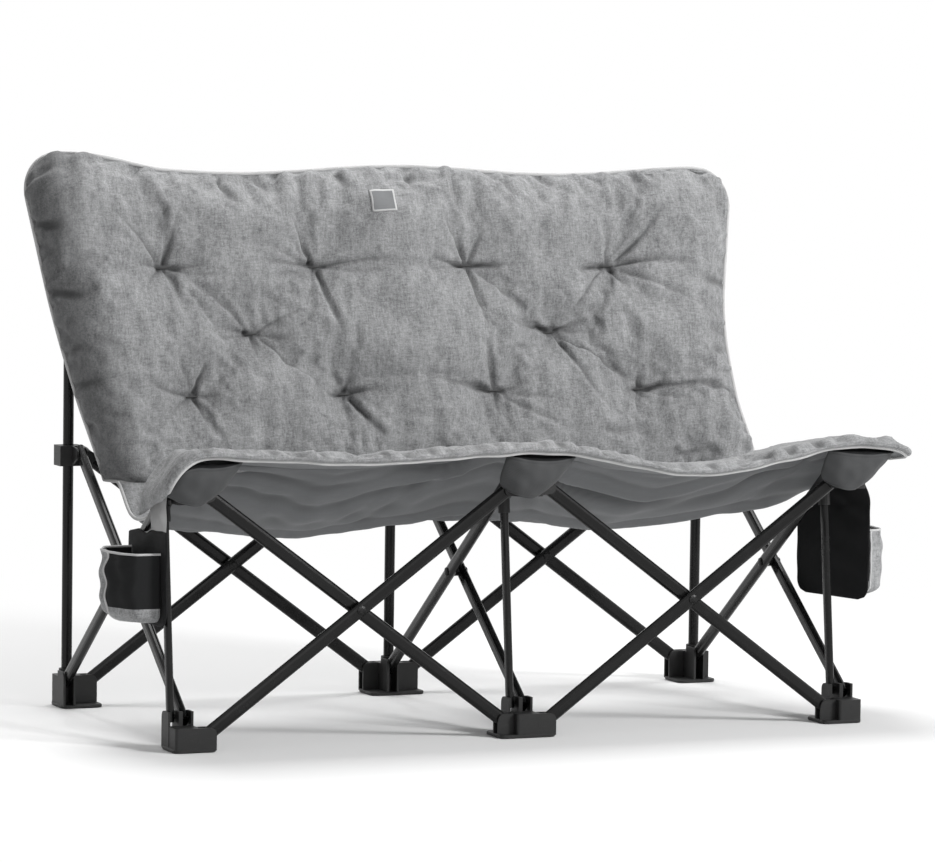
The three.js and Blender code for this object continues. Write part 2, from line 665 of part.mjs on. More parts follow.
function backMiddle(u, v) {
  const rise = THREE.MathUtils.clamp(v, -0.05, 1.05);
  const half = THREE.MathUtils.lerp(BACK_HALF_FOOT, BACK_HALF_TOP, rise);
  const below = (1 - rise) * (BACK_TOP - BACK_FOOT_HEIGHT);
  const nearTop = Math.max(0, BACK_CORNER - below) / BACK_CORNER;
  const turn = BACK_CORNER * (1 - Math.sqrt(Math.max(0, 1 - Math.min(1, nearTop) ** 2)));
  const x = u * (half - turn);
  const between = 1 - nearColumn(x);
  const foot = BACK_FOOT_HEIGHT - BACK_SAG * between;
  const top = BACK_TOP - BACK_DIP * between;
  const hollow = BACK_HOLLOW * Math.sin(Math.PI * rise) * between;
  const y = THREE.MathUtils.lerp(-BACK_FOOT_FORWARD, -BACK_TOP_FORWARD, rise) + hollow;
  return new THREE.Vector3(x, y, THREE.MathUtils.lerp(foot, top, rise));
}

function tuftDepth(u, v) {
  const p = backMiddle(u, v);
  let depth = 0;
  TUFT_DROPS.forEach((drop, row) => {
    const steps = row === 1 ? [-2, 2] : [-3, -1, 1, 3];
    for (const k of steps) {
      const away = Math.hypot(p.x - k * TUFT_PITCH, p.z - BACK_TOP + drop);
      depth = Math.max(depth, Math.exp(-((away / TUFT_RADIUS) ** 2)));
    }
  });
  return depth;
}

function backCushion() {
  const front = (u, v) => fullness(u, v, ...BACK_RIM) * (BACK_CROWN - TUFT_DEPTH * tuftDepth(u, v));
  const rear = (u, v) => fullness(u, v, ...BACK_REAR_RIM) * BACK_REAR_CROWN;
  const pad = padded(...BACK_CELLS, backMiddle, front, rear);
  const grooveTop = POST_TOP + CAP_DOME + SLEEVE_WALL + 3 * FIT;
  const groove = rod(SLEEVE_RADIUS + FIT, 2 * SLEEVE_LENGTH, "z", BORE_SIDES);
  groove.translate(0, 0, grooveTop - SLEEVE_LENGTH);
  const grooves = Object.values(COLUMNS).map((x) => groove.clone().translate(x, 0, 0));
  return joined([pad], grooves);
}

// Seat: a lip panel over the top joints, sewn to a sling whose rear edge tucks in under the back
const SEAT_LENGTH = COLUMN_PITCH + SEAT_LIP_FORWARD - BACK_FOOT_FORWARD;
const SEAT_HALF_FRONT = COLUMN_PITCH + SEAT_PAST_FRONT;
const SEAT_HALF_REAR = COLUMN_PITCH - SEAT_SHORT_REAR;

function seatMiddle(u, v) {
  const back = THREE.MathUtils.clamp(v, -0.05, 1.05);
  const y = THREE.MathUtils.lerp(FRONT_Y - SEAT_LIP_FORWARD, -BACK_FOOT_FORWARD, back);
  const half = THREE.MathUtils.lerp(SEAT_HALF_FRONT, SEAT_HALF_REAR, smooth((back - SEAT_TAPER[0]) / (SEAT_TAPER[1] - SEAT_TAPER[0])));
  const x = u * half;
  const on = nearColumn(x);
  const rear = LIP_HEIGHT - BACK_FOOT_HEIGHT + SEAT_TUCK;
  const over = alongList([...SEAT_OVER_COLUMN, rear], back);
  const between = alongList([...SEAT_BETWEEN, rear + BACK_SAG], back);
  return new THREE.Vector3(x, y, LIP_HEIGHT - on * over - (1 - on) * between);
}

function seatPanel(from, to, rows) {
  const share = (w) => THREE.MathUtils.lerp(from, to, w);
  const middle = (u, w) => seatMiddle(u, share(w));
  const full = (w) => SEAT_CROWN + SEAT_LIP_CROWN * (1 - smooth(share(w) / SEAT_LIP_FADE));
  const rim = SEAT_RIM / ((to - from) * SEAT_LENGTH);
  const face = (u, w) => fullness(u, w, SEAT_SIDE_RIM, rim) * full(w);
  return padded(SEAT_ACROSS, rows, middle, face, face);
}

function seatLip() {
  return seatPanel(0, SEAT_LIP_DEPTH / SEAT_LENGTH, LIP_ROWS);
}

function seatSling() {
  const sling = seatPanel((SEAT_LIP_DEPTH + FIT) / SEAT_LENGTH, 1, SLING_ROWS);
  return joined([sling], [backCushion().translate(0, -FIT, -FIT)]);
}

// The seat as a cutter for what stands or hangs below it, seen from a column's foot or from the middle
function seatAbove(x, y = FRONT_Y) {
  return joined([seatLip(), seatSling()]).translate(-x, -y, -FIT);
}

function seatHeight(x, y) {
  const v = (y - FRONT_Y + SEAT_LIP_FORWARD) / SEAT_LENGTH;
  return seatMiddle(x / seatMiddle(1, v).x, v).z;
}

// Front pockets: a bulged bib that hangs from the seat before each top joint
function frontPocket(column) {
  const x = COLUMNS[column];
  const gap = CROSS_REACH + POCKET_GAP;
  const middle = (u, v) => {
    const half = POCKET_HALF * (1 - POCKET_TAPER * v * v);
    const curl = POCKET_BULGE * (1 - u * u) * (1 - 0.5 * v);
    const y = -gap - POCKET_CLOTH - curl;
    const top = seatHeight(x + u * half, FRONT_Y + y);
    return new THREE.Vector3(u * half, y, THREE.MathUtils.lerp(top, SIDE_TOP - POCKET_DROP, v));
  };
  const face = () => POCKET_CLOTH / 2;
  return joined([padded(...POCKET_CELLS, middle, face, face)], [seatAbove(x)]);
}

// Side pouches: a flap that hangs from the seat's edge, and an open pouch on its outer face
const FLAP_X = COLUMN_PITCH + SIDE_REACH + FLAP_GAP;
const FLAP_Y0 = FRONT_Y + FLAP_BEHIND;
const FLAP_FLOOR = SIDE_TOP - FLAP_DROP;
const FLAP_SHOULDER = SIDE_TOP - FLAP_SHOULDER_DROP;
const POUCH_TOP = FLAP_SHOULDER - POUCH_DROP;
const FLAP_MIDDLE = FLAP_Y0 + FLAP_LENGTH / 2;

function sideFlap(way) {
  const y1 = FLAP_Y0 + FLAP_LENGTH;
  const strap = FLAP_Y0 + FLAP_STRAP;
  const r = FLAP_CORNER;
  const shape = new THREE.Shape();
  shape.moveTo(FLAP_Y0 + r, FLAP_FLOOR);
  shape.lineTo(y1 - r, FLAP_FLOOR);
  shape.absarc(y1 - r, FLAP_FLOOR + r, r, -Math.PI / 2, 0, false);
  shape.lineTo(y1, FLAP_SHOULDER - r);
  shape.absarc(y1 - r, FLAP_SHOULDER - r, r, 0, Math.PI / 2, false);
  shape.lineTo(strap + r, FLAP_SHOULDER);
  shape.lineTo(strap, FLAP_SHOULDER + r);
  for (const t of [1, 0.75, 0.5, 0.25, 0]) {
    const y = FLAP_Y0 + t * FLAP_STRAP;
    shape.lineTo(y, seatHeight(FLAP_X, y) - FLAP_SHORT);
  }
  shape.lineTo(FLAP_Y0, FLAP_FLOOR + r);
  shape.absarc(FLAP_Y0 + r, FLAP_FLOOR + r, r, Math.PI, 1.5 * Math.PI, false);
  const sheet = slab(shape, FLAP_CLOTH, FACING_X).translate(way * FLAP_X, 0, 0);
  return joined([sheet], [seatAbove(0, 0)]);
}

// Plan of the pouch: flat against the flap, bowed outward
function pouchPlan(inset) {
  const half = POUCH_LENGTH / 2 - inset;
  const depth = POUCH_DEPTH - inset;
  const [bow, full] = POUCH_BOW;
  const shape = new THREE.Shape();
  shape.moveTo(inset, -half);
  shape.lineTo(depth * POUCH_FLAT, -half);
  shape.bezierCurveTo(depth * bow, -half, depth, -half * full, depth, 0);
  shape.bezierCurveTo(depth, half * full, depth * bow, half, depth * POUCH_FLAT, half);
  shape.lineTo(inset, half);
  return shape;
}

function sidePouch() {
  const floor = FLAP_FLOOR + POUCH_LIFT;
  const upright = (shape, low, high) => {
    const settings = { depth: high - low, bevelEnabled: false, curveSegments: POUCH_STEPS };
    return new THREE.ExtrudeGeometry(shape, settings).translate(0, 0, low);
  };
  const wall = upright(pouchPlan(0), floor, POUCH_TOP);
  const inside = upright(pouchPlan(POUCH_WALL), floor + POUCH_WALL, POUCH_TOP + POUCH_WALL);
  return joined([wall], [inside]);
}

// Assembly
const loveseat = new THREE.Group();
loveseat.name = "folding_loveseat";

function piece(parent, name, geometry, material) {
  const mesh = new THREE.Mesh(geometry, material(`${name}_finish`));
  mesh.name = name;
  parent.add(mesh);
  return mesh;
}

function group(parent, name, x, y, z) {
  const made = new THREE.Group();
  made.name = name;
  made.position.set(x, y, z);
  parent.add(made);
  return made;
}

for (const [column, x] of Object.entries(COLUMNS)) {
  const rear = group(loveseat, `rear_column_${column}`, x, 0, 0);
  piece(rear, `rear_foot_${column}`, rearFoot(column), plastic);
  piece(rear, `rear_post_${column}`, postTube(), steel);
  piece(rear, `post_cap_${column}`, postCap(), plastic);
  piece(rear, `post_sleeve_${column}`, postSleeve(), cloth);
  piece(rear, `slider_${column}`, slider(column), plastic);

  const front = group(loveseat, `front_column_${column}`, x, FRONT_Y, 0);
  piece(front, `front_foot_${column}`, frontFoot(column), plastic);
  piece(front, `top_joint_${column}`, topJoint(column), plastic);
  piece(front, `front_pocket_${column}`, frontPocket(column), cloth);

  const side = group(loveseat, `side_scissor_${column}`, x, 0, SIDE_PIN_HEIGHT);
  const rising = group(side, `side_rear_pin_${column}`, -SIDE_PLANE, -PIN_INSET, 0);
  rising.rotation.z = -Math.PI / 2;
  piece(rising, `side_rear_leg_${column}`, scissorTube(), steel).rotation.y = -REST_ANGLE;
  const falling = group(side, `side_front_pin_${column}`, SIDE_PLANE, FRONT_Y + PIN_INSET, 0);
  falling.rotation.z = Math.PI / 2;
  piece(falling, `side_front_leg_${column}`, scissorTube(), steel).rotation.y = -REST_ANGLE;
  const pin = piece(side, `side_rivet_${column}`, rivet(SIDE_PLANE), bright);
  pin.position.set(0, FRONT_Y / 2, SCISSOR_RISE / 2);
  pin.rotation.z = Math.PI / 2;

  const stand = group(side, `prop_pin_${column}`, -SIDE_PLANE, FRONT_Y + PIN_INSET, 0);
  stand.rotation.z = Math.PI / 2;
  const lean = PROP_LEAN - Math.PI / 2;
  piece(stand, `front_prop_${column}`, propTube(), steel).rotation.y = lean;
  piece(stand, `prop_saddle_${column}`, propSaddle(), plastic).rotation.y = lean;
}

// Crossed tubes of the front and rear rows, two to a cell
const ROWS = { front: [FRONT_Y, FRONT_PIN_HEIGHT], rear: [0, REAR_PIN_HEIGHT] };

for (const [row, [y, z]] of Object.entries(ROWS)) {
  for (const [cell, x0] of Object.entries({ left: -COLUMN_PITCH, right: 0 })) {
    const crossing = group(loveseat, `${row}_scissor_${cell}`, x0, y, z);
    const rising = piece(crossing, `${row}_${cell}_tube_up_right`, scissorTube(), steel);
    rising.position.set(PIN_INSET, -CROSS_PLANE, 0);
    rising.rotation.y = -REST_ANGLE;
    const falling = piece(crossing, `${row}_${cell}_tube_up_left`, scissorTube(), steel);
    falling.position.set(COLUMN_PITCH - PIN_INSET, CROSS_PLANE, 0);
    falling.rotation.y = REST_ANGLE - Math.PI;
    const pin = piece(crossing, `${row}_rivet_${cell}`, rivet(CROSS_PLANE), bright);
    pin.position.set(COLUMN_PITCH / 2, 0, SCISSOR_RISE / 2);
  }
}

// Cover
const cover = group(loveseat, "cover", 0, 0, 0);
piece(cover, "back_cushion", backCushion(), cloth);
piece(cover, "seat_lip", seatLip(), cloth);
piece(cover, "seat_sling", seatSling(), cloth);

for (const [side, way] of Object.entries({ left: -1, right: 1 })) {
  piece(cover, `side_flap_${side}`, sideFlap(way), cloth);
  const pouch = piece(cover, `side_pouch_${side}`, sidePouch(), cloth);
  pouch.position.set(way * (FLAP_X + FLAP_CLOTH / 2 + FIT), FLAP_MIDDLE, 0);
  if (way < 0) {
    pouch.rotation.z = Math.PI;
  }
}

// The box round the whole part is centred on the origin and stands on the floor
const bounds = new THREE.Box3().setFromObject(loveseat);
loveseat.position.y = -(bounds.min.y + bounds.max.y) / 2;

const assembly = new THREE.Group();
assembly.name = "loveseat";
assembly.add(loveseat);

export default assembly;
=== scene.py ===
"""Folding camping loveseat: its soft goods, finishes and stage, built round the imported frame."""
import json
import math

import bpy
import numpy as np
from bpy.props import FloatProperty, FloatVectorProperty, PointerProperty
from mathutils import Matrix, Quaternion, Vector


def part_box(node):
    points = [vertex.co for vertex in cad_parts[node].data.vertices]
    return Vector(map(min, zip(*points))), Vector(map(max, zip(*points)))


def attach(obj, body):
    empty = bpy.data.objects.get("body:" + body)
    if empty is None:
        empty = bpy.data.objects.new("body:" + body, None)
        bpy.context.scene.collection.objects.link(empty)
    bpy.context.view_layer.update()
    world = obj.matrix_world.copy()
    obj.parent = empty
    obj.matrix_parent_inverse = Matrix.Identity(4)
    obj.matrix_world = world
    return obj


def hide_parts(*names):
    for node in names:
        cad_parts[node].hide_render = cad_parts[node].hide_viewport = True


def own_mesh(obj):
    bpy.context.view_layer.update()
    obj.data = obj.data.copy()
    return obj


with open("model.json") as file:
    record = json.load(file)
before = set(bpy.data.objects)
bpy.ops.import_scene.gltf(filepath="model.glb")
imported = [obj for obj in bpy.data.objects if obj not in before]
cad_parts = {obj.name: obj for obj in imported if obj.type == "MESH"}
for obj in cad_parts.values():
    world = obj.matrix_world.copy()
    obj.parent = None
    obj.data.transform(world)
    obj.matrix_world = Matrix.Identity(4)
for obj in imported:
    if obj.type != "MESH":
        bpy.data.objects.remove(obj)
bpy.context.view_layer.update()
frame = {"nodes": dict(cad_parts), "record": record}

bl_info = {
    "name": "Folding loveseat",
    "version": (1, 0, 0),
    "blender": (4, 5, 0),
    "location": "3D View > Sidebar > Loveseat",
    "description": "Dresses the frame of a folding camping loveseat in padded cloth, paint and plastic",
    "category": "Add Mesh",
}


def middle_of(node):
    """Centre of a node's box."""
    low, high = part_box(node)
    return (low + high) / 2


PITCH = middle_of("rear_post_right").x
POST_Y = middle_of("rear_post_right").y
COLUMNS = {"left": -PITCH, "middle": 0.0, "right": PITCH}
SIDES = {"left": -1, "right": 1}
BACK_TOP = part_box("back_cushion")[1].z
LIP_LOW, LIP_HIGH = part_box("seat_lip")
SEAM_Y = LIP_HIGH.y


def length(name, description, default):
    """A length in metres that a user may change."""
    return FloatProperty(name=name, description=description, default=default, unit="LENGTH", precision=4)


def degrees(name, description, default):
    """An angle that a user may change."""
    return FloatProperty(name=name, description=description, default=math.radians(default), subtype="ANGLE")


def colour(name, description, grey, tint=(1.0, 1.0, 1.0)):
    """A colour that a user may change, from a grey and a slight tint."""
    default = tuple(grey * t for t in tint)
    return FloatVectorProperty(
        name=name, description=description, default=default, subtype="COLOR", min=0, max=1
    )


class LoveseatBackSizes(bpy.types.PropertyGroup):
    """Sizes of the back pad."""

    half_top: length("Half width at the top", "From the middle to a top corner", 0.680)
    half_foot: length("Half width at the foot", "From the middle to a lower corner", 0.588)
    foot: length("Foot height", "Height of the lower edge at the columns", 0.412)
    foot_forward: length("Foot forward", "Lower edge in front of the posts", 0.150)
    top_forward: length("Top forward", "Top edge in front of the posts", 0.008)
    dip: length("Dip", "Dip of the top edge between the posts", 0.014)
    sag: length("Sag", "Sag of the lower edge between the columns", 0.034)
    corner: length("Corner", "Radius of the top corners", 0.080)
    horn: length("Horn", "Rise of the left top corner", 0.020)
    roll: length("Roll", "How far the left edge rolls back round its post", 0.045)
    crown: length("Crown", "Front face off the middle surface", 0.033)
    rear_crown: length("Rear crown", "Rear face off the middle surface", 0.011)
    tuft_pitch: length("Tuft pitch", "Half the distance between tufts in a row", 0.1455)
    tuft_depth: length("Tuft depth", "How far a tuft draws the front face in", 0.018)
    tuft_width: length("Tuft width", "Radius of the hollow round a tuft", 0.050)
    crease: length("Crease", "Depth of the creases at a tuft", 0.0085)
    pucker: length("Pucker", "Depth of the gathers along the sewn edge", 0.0042)
    piping: length("Piping", "Radius of the piping", 0.0034)


class LoveseatSeatSizes(bpy.types.PropertyGroup):
    """Sizes of the seat, its pockets and its pouches."""

    half_front: length("Half width in front", "From the middle to a front corner", 0.693)
    shift: length("Shift", "How far the seat's front stands to the right", 0.023)
    half_rear: length("Half width at the rear", "From the middle to a rear corner", 0.578)
    lip_height: length("Lip height", "Height of the front edge", 0.500)
    crown: length("Crown", "Each face off the middle surface", 0.0065)
    lip_crown: length("Lip crown", "Extra fullness along the front edge", 0.0005)
    rim: length("Rim", "Rounding of the sewn edges", 0.030)
    curl_left: length("Left curl", "How far the left side edge hangs down", 0.080)
    curl_right: length("Right curl", "How far the right side edge hangs down", 0.030)
    sag_left: length("Left sag", "Sag of the front edge left of the middle column", 0.012)
    sag_right: length("Right sag", "Sag of the front edge right of the middle column", 0.044)
    band: length("Band", "Depth of the cloth band round the lip's front edge", 0.013)
    corner: length("Corner", "Radius of the front corners", 0.045)
    pocket_half: length("Pocket half width", "Half the width of a pocket's mouth", 0.064)
    pocket_tip: length("Pocket tip", "Half the width of a pocket's foot", 0.050)
    pocket_gape: length("Pocket gape", "How far a pocket's mouth hangs open", 0.013)
    cloth: length("Cloth", "Thickness of a single layer of cloth", 0.0024)
    pouch_lean: length("Pouch slack", "How far a pouch's outer face bellies out", 0.006)


class LoveseatColours(bpy.types.PropertyGroup):
    """Colours of the cloth, the paint and the plastic."""

    heather_dark: colour("Heather dark", "Darker yarn of the heather cloth", 0.085, (0.98, 1.0, 1.03))
    heather_light: colour("Heather light", "Paler yarn of the heather cloth", 0.43, (0.99, 1.0, 1.01))
    lining: colour("Lining", "Plain cloth below the seat", 0.165, (0.97, 1.0, 1.03))
    pocket: colour("Pocket", "Cloth of the front pockets", 0.044, (0.97, 1.0, 1.03))
    gusset: colour("Gusset", "Dark cloth of the pouches", 0.012, (0.97, 1.0, 1.04))
    binding: colour("Binding", "Piping and edge tape", 0.52)
    thread: colour("Thread", "Sewing thread", 0.03)
    paint: colour("Paint", "Powder coat of the tubes", 0.005)
    plastic: colour("Plastic", "Moulded joints and feet", 0.010)
    rivet: colour("Rivet", "Blackened rivets", 0.03)
    floor: colour("Floor", "Floor of the stage", 0.86)


class LoveseatStage(bpy.types.PropertyGroup):
    """Camera of the stage."""

    azimuth: degrees("Azimuth", "Camera's turn round the seat", -23.2)
    elevation: degrees("Elevation", "Camera above the horizon", 4.35)
    roll: degrees("Roll", "Camera's tilt about its line of sight", 0.8)
    distance: length("Distance", "Camera to the middle of the seat", 8.575)
    lens: FloatProperty(name="Lens", description="Focal length in millimetres", default=186.6, min=10)


# Shader maths
class Value:
    """A number in a finish. Arithmetic on it adds Math nodes."""

    def __init__(self, finish, socket):
        self.finish = finish
        self.socket = socket

    def __add__(self, other):
        return self.finish.math("ADD", self, other)

    def __radd__(self, other):
        return self.finish.math("ADD", other, self)

    def __sub__(self, other):
        return self.finish.math("SUBTRACT", self, other)

    def __rsub__(self, other):
        return self.finish.math("SUBTRACT", other, self)

    def __mul__(self, other):
        return self.finish.math("MULTIPLY", self, other)

    def __rmul__(self, other):
        return self.finish.math("MULTIPLY", other, self)


class Finish:
    """The nodes of a material, or of the world, in the making."""

    def __init__(self, owner, shader="Principled BSDF"):
        owner.use_nodes = True
        self.material = owner
        self.tree = owner.node_tree
        self.shader = self.tree.nodes[shader]

    def feed(self, socket, value):
        """Links a value to a socket, or sets the socket's own number or colour."""
        if isinstance(value, Value):
            self.tree.links.new(value.socket, socket)
        else:
            socket.default_value = value

    def node(self, kind, settings=None, inputs=None, output=0):
        """A node of that kind, its settings set first and then its sockets, as one or more of its outputs."""
        made = self.tree.nodes.new(kind)
        for name, value in (settings or {}).items():
            if name == "stops":
                for stop, (position, grey) in zip(made.color_ramp.elements, value):
                    stop.position = position
                    stop.color = (grey, grey, grey, 1)
            else:
                setattr(made, name, value)
        for key, value in (inputs or {}).items():
            self.feed(made.inputs[key], value)
        if isinstance(output, tuple):
            return [Value(self, made.outputs[key]) for key in output]
        return Value(self, made.outputs[output])

    def math(self, operation, *values):
        """A Math node."""
        return self.node("ShaderNodeMath", {"operation": operation}, dict(enumerate(values)))

    def mix(self, first, second, share):
        """A colour between two others."""
        return self.node("ShaderNodeMix", {"data_type": "RGBA"}, {0: share, 6: first, 7: second}, 2)

    def place(self):
        """Where a point lies on the piece."""
        return self.node("ShaderNodeTexCoord", output="Object")

    def stretched(self, scale):
        """The same, drawn out along its axes."""
        return self.node("ShaderNodeMapping", inputs={"Vector": self.place(), "Scale": scale})

    def noise(self, place, scale, detail=2.0, roughness=0.5):
        """Soft noise, from 0 to 1."""
        sockets = {"Vector": place, "Scale": scale, "Detail": detail, "Roughness": roughness}
        return self.node("ShaderNodeTexNoise", inputs=sockets, output="Fac")

    def grain(self, scale, detail, roughness=0.5):
        """Soft noise, drawn out along its axes."""
        return self.noise(self.stretched(scale), 1.0, detail, roughness)

    def ramp(self, value, low, high):
        """0 below low, 1 above high."""
        return self.node("ShaderNodeValToRGB", {"stops": [(low, 0.0), (high, 1.0)]}, {0: value})

    def marked(self, name):
        """A number painted on the mesh."""
        return self.node("ShaderNodeAttribute", {"attribute_name": name}, output="Fac")

    def in_view(self):
        """1 where it is seen straight, in a mirror or through glass, and 0 where it only sheds light."""
        rays = ("Is Camera Ray", "Is Glossy Ray", "Is Transmission Ray")
        straight, mirrored, glazed = self.node("ShaderNodeLightPath", output=rays)
        return self.math("MAXIMUM", self.math("MAXIMUM", straight, mirrored), glazed)

    def bump(self, height, distance, strength):
        """Fine relief on the surface."""
        sockets = {"Height": height, "Distance": distance, "Strength": strength}
        self.feed(self.shader.inputs["Normal"], self.node("ShaderNodeBump", inputs=sockets))

    def set(self, **sockets):
        """Sets or links the shader's sockets, whose names are written with underscores."""
        for name, value in sockets.items():
            self.feed(self.shader.inputs[name.replace("_", " ")], value)


def solid(shade, scale=1.0):
    """A colour as a socket takes it."""
    return (shade[0] * scale, shade[1] * scale, shade[2] * scale, 1.0)


# Finishes
HEATHER_THREAD = 0.0016
LINING_THREAD = 0.0011


def new_finish(name):
    """The finish of a new material."""
    return Finish(bpy.data.materials.new(name))


def weave(finish, thread):
    """Over-and-under relief of a plain weave with threads of that width."""
    step = math.pi / thread
    across, depth, height = finish.node("ShaderNodeSeparateXYZ", inputs={0: finish.place()}, output=(0, 1, 2))
    warp = finish.math("SINE", across * step)
    weft = finish.math("SINE", (depth + height) * step)
    return warp * weft


def heather_finish(colours):
    """Two-tone melange cloth in a plain weave, mottled by wear, with painted shade in its creases."""
    cloth = new_finish("heather_melange")
    place = cloth.place()
    slub = cloth.grain((70, 300, 300), 3, 0.65)
    fleck = cloth.grain((300, 70, 70), 3, 0.65)
    speck = cloth.noise(place, 460, 2, 0.6)
    yarn = cloth.ramp(slub * 0.34 + fleck * 0.34 + speck * 0.32, 0.38, 0.62)
    cloud = cloth.ramp(cloth.noise(place, 11, 4, 0.6), 0.30, 0.70)
    streak = cloth.ramp(cloth.grain((38, 38, 9), 3, 0.55), 0.32, 0.70)
    share = yarn * 0.56 + cloud * 0.09 + streak * 0.25
    tone = cloth.mix(solid(colours.heather_dark), solid(colours.heather_light), share)
    # Painted shade: where the crease attribute is high, the tone turns to a darker copy of the deep yarn
    shade = cloth.mix(tone, solid(colours.heather_dark, 0.32), cloth.marked("crease"))
    cloth.set(Base_Color=shade, Roughness=0.86 + 0.1 * yarn, Sheen_Weight=0.12, Sheen_Roughness=0.5)
    relief = weave(cloth, HEATHER_THREAD) * 0.25 + yarn * 0.5 + cloth.noise(place, 60, 3) * 0.8
    cloth.bump(relief, 0.0011, 0.55)


def lining_finish(name, shade, sheen, gloss):
    """Plain, close-woven cloth with a slight lustre, and painted shade from the crease attribute."""
    cloth = new_finish(name)
    place = cloth.place()
    yarn = cloth.grain((60, 500, 500), 2, 0.6)
    cloud = cloth.noise(place, 7, 3)
    tone = cloth.mix(solid(shade, 0.74), solid(shade, 1.28), yarn * 0.4 + cloud * 0.6)
    # Painted shade: where the crease attribute is high, the tone turns to a darker copy of the cloth's colour
    dark = cloth.mix(tone, solid(shade, 0.3), cloth.marked("crease"))
    cloth.set(Base_Color=dark, Roughness=0.68 + 0.12 * yarn, Specular_IOR_Level=gloss)
    cloth.set(Sheen_Weight=sheen, Sheen_Roughness=0.4)
    cloth.bump(weave(cloth, LINING_THREAD) * 0.25 + cloth.noise(place, 45, 3) * 1.4, 0.0010, 0.5)


def binding_finish(colours):
    """Pale tape that covers the piping and the raw edges."""
    tape = new_finish("binding_tape")
    place = tape.place()
    rib = tape.grain((520, 520, 160), 2, 0.6)
    soil = tape.ramp(tape.noise(place, 24, 3), 0.35, 0.75)
    tone = tape.mix(solid(colours.binding), solid(colours.binding, 0.66), rib * 0.4 + soil * 0.45)
    # Painted shade: where the crease attribute is high, the tape turns to a darker copy of its colour
    tape.set(Base_Color=tape.mix(tone, solid(colours.binding, 0.25), tape.marked("crease")), Roughness=0.8)
    tape.bump(rib + tape.noise(place, 120, 2), 0.0008, 0.6)


def thread_finish(colours):
    """Twisted sewing thread."""
    thread = new_finish("sewing_thread")
    twist = thread.grain((900, 900, 300), 1)
    thread.set(Base_Color=thread.mix(solid(colours.thread), solid(colours.thread, 1.9), twist), Roughness=0.8)
    thread.bump(twist, 0.0004, 0.6)


def paint_finish(colours):
    """Black powder coat: glossy, with fine orange peel and a little dust and rubbing."""
    paint = new_finish("black_powder_coat")
    place = paint.place()
    peel = paint.noise(place, 700, 2)
    dust = paint.ramp(paint.noise(place, 32, 5, 0.65), 0.52, 0.85)
    tone = paint.mix(solid(colours.paint), solid(colours.paint, 2.4), dust)
    paint.set(Base_Color=tone, Roughness=0.20 + 0.16 * dust + 0.05 * peel, Coat_Roughness=0.10)
    paint.set(Coat_Weight=0.14 - 0.1 * dust, Specular_IOR_Level=0.16)
    paint.bump(peel, 0.00025, 0.35)


def plastic_finish(colours):
    """Moulded black plastic with a fine spark grain and scuffs."""
    plastic = new_finish("moulded_black_plastic")
    place = plastic.place()
    grain = plastic.noise(place, 1200, 2, 0.7)
    scuff = plastic.ramp(plastic.grain((60, 60, 240), 4, 0.7), 0.55, 0.82)
    tone = plastic.mix(solid(colours.plastic), solid(colours.plastic, 2.6), scuff * 0.6)
    plastic.set(Base_Color=tone, Roughness=0.40 + 0.16 * grain + 0.12 * scuff, Specular_IOR_Level=0.35)
    plastic.bump(grain + scuff * 0.8, 0.0004, 0.45)


def rivet_finish(colours):
    """Plated steel, blackened, brushed and stained."""
    steel = new_finish("plated_rivet")
    place = steel.place()
    brush = steel.grain((1400, 1400, 300), 2)
    stain = steel.ramp(steel.noise(place, 260, 3), 0.45, 0.8)
    tone = steel.mix(solid(colours.rivet), solid(colours.rivet, 0.35), stain)
    steel.set(Base_Color=tone, Metallic=1.0, Roughness=0.26 + 0.2 * brush + 0.2 * stain)
    steel.bump(brush, 0.0002, 0.3)


def finishes():
    """Every finish, made once."""
    if "heather_melange" not in bpy.data.materials:
        colours = bpy.context.scene.loveseat_colours
        heather_finish(colours)
        lining_finish("plain_lining", colours.lining, 0.08, 0.5)
        lining_finish("pocket_cloth", colours.pocket, 0.06, 0.4)
        lining_finish("gusset_cloth", colours.gusset, 0.0, 0.12)
        binding_finish(colours)
        thread_finish(colours)
        paint_finish(colours)
        plastic_finish(colours)
        rivet_finish(colours)
    return bpy.data.materials


# Curves and surfaces: how many waves add up, a fold's ridges as shares of it, and how near a rim is
RIPPLES = 9
HILLS = 14
RIDGE_HEIGHT = 0.42
RIDGE_AWAY = 2.1
RIDGE_WIDTH = 1.2
RIM = 1e-4


def lerp(start, end, share):
    """A value between two others."""
    return start + (end - start) * share


def smooth(share):
    """An eased step from 0 to 1."""
    held = np.clip(share, 0, 1)
    return held * held * (3 - 2 * held)


def eased(place, start, run):
    """An eased step that begins at a start and takes a run."""
    return smooth((place - start) / run)


def rounded(share):
    """A quarter round from 0 to 1."""
    held = np.clip(share, 0, 1)
    return np.sqrt(held * (2 - held))


def bell(distance, width):
    """1 at a place, fading over that width."""
    return np.exp(-((distance / width) ** 2))


def through(stops, share):
    """A smooth curve through evenly spaced stops."""
    stops = np.asarray(stops, float)
    last = len(stops) - 1
    place = np.clip(share, 0, 1) * last
    low = np.minimum(place.astype(int), last - 1)
    part = place - low
    before = stops[np.maximum(low - 1, 0)]
    start = stops[low]
    end = stops[low + 1]
    after = stops[np.minimum(low + 2, last)]
    rise = (end - before) / 2
    leave = (after - start) / 2
    square = part * part
    cube = square * part
    begin = (2 * cube - 3 * square + 1) * start + (cube - 2 * square + part) * rise
    return begin + (3 * square - 2 * cube) * end + (cube - square) * leave


def near_column(x):
    """1 on a column and 0 half way to the next."""
    return 0.5 + 0.5 * np.cos(2 * math.pi * np.minimum(np.abs(x) / PITCH, 1))


def spread(across, along):
    """Shares of a pad's width, from -1 to 1, and of its length, from 0 to 1."""
    return np.meshgrid(np.linspace(-1, 1, across + 1), np.linspace(0, 1, along + 1))


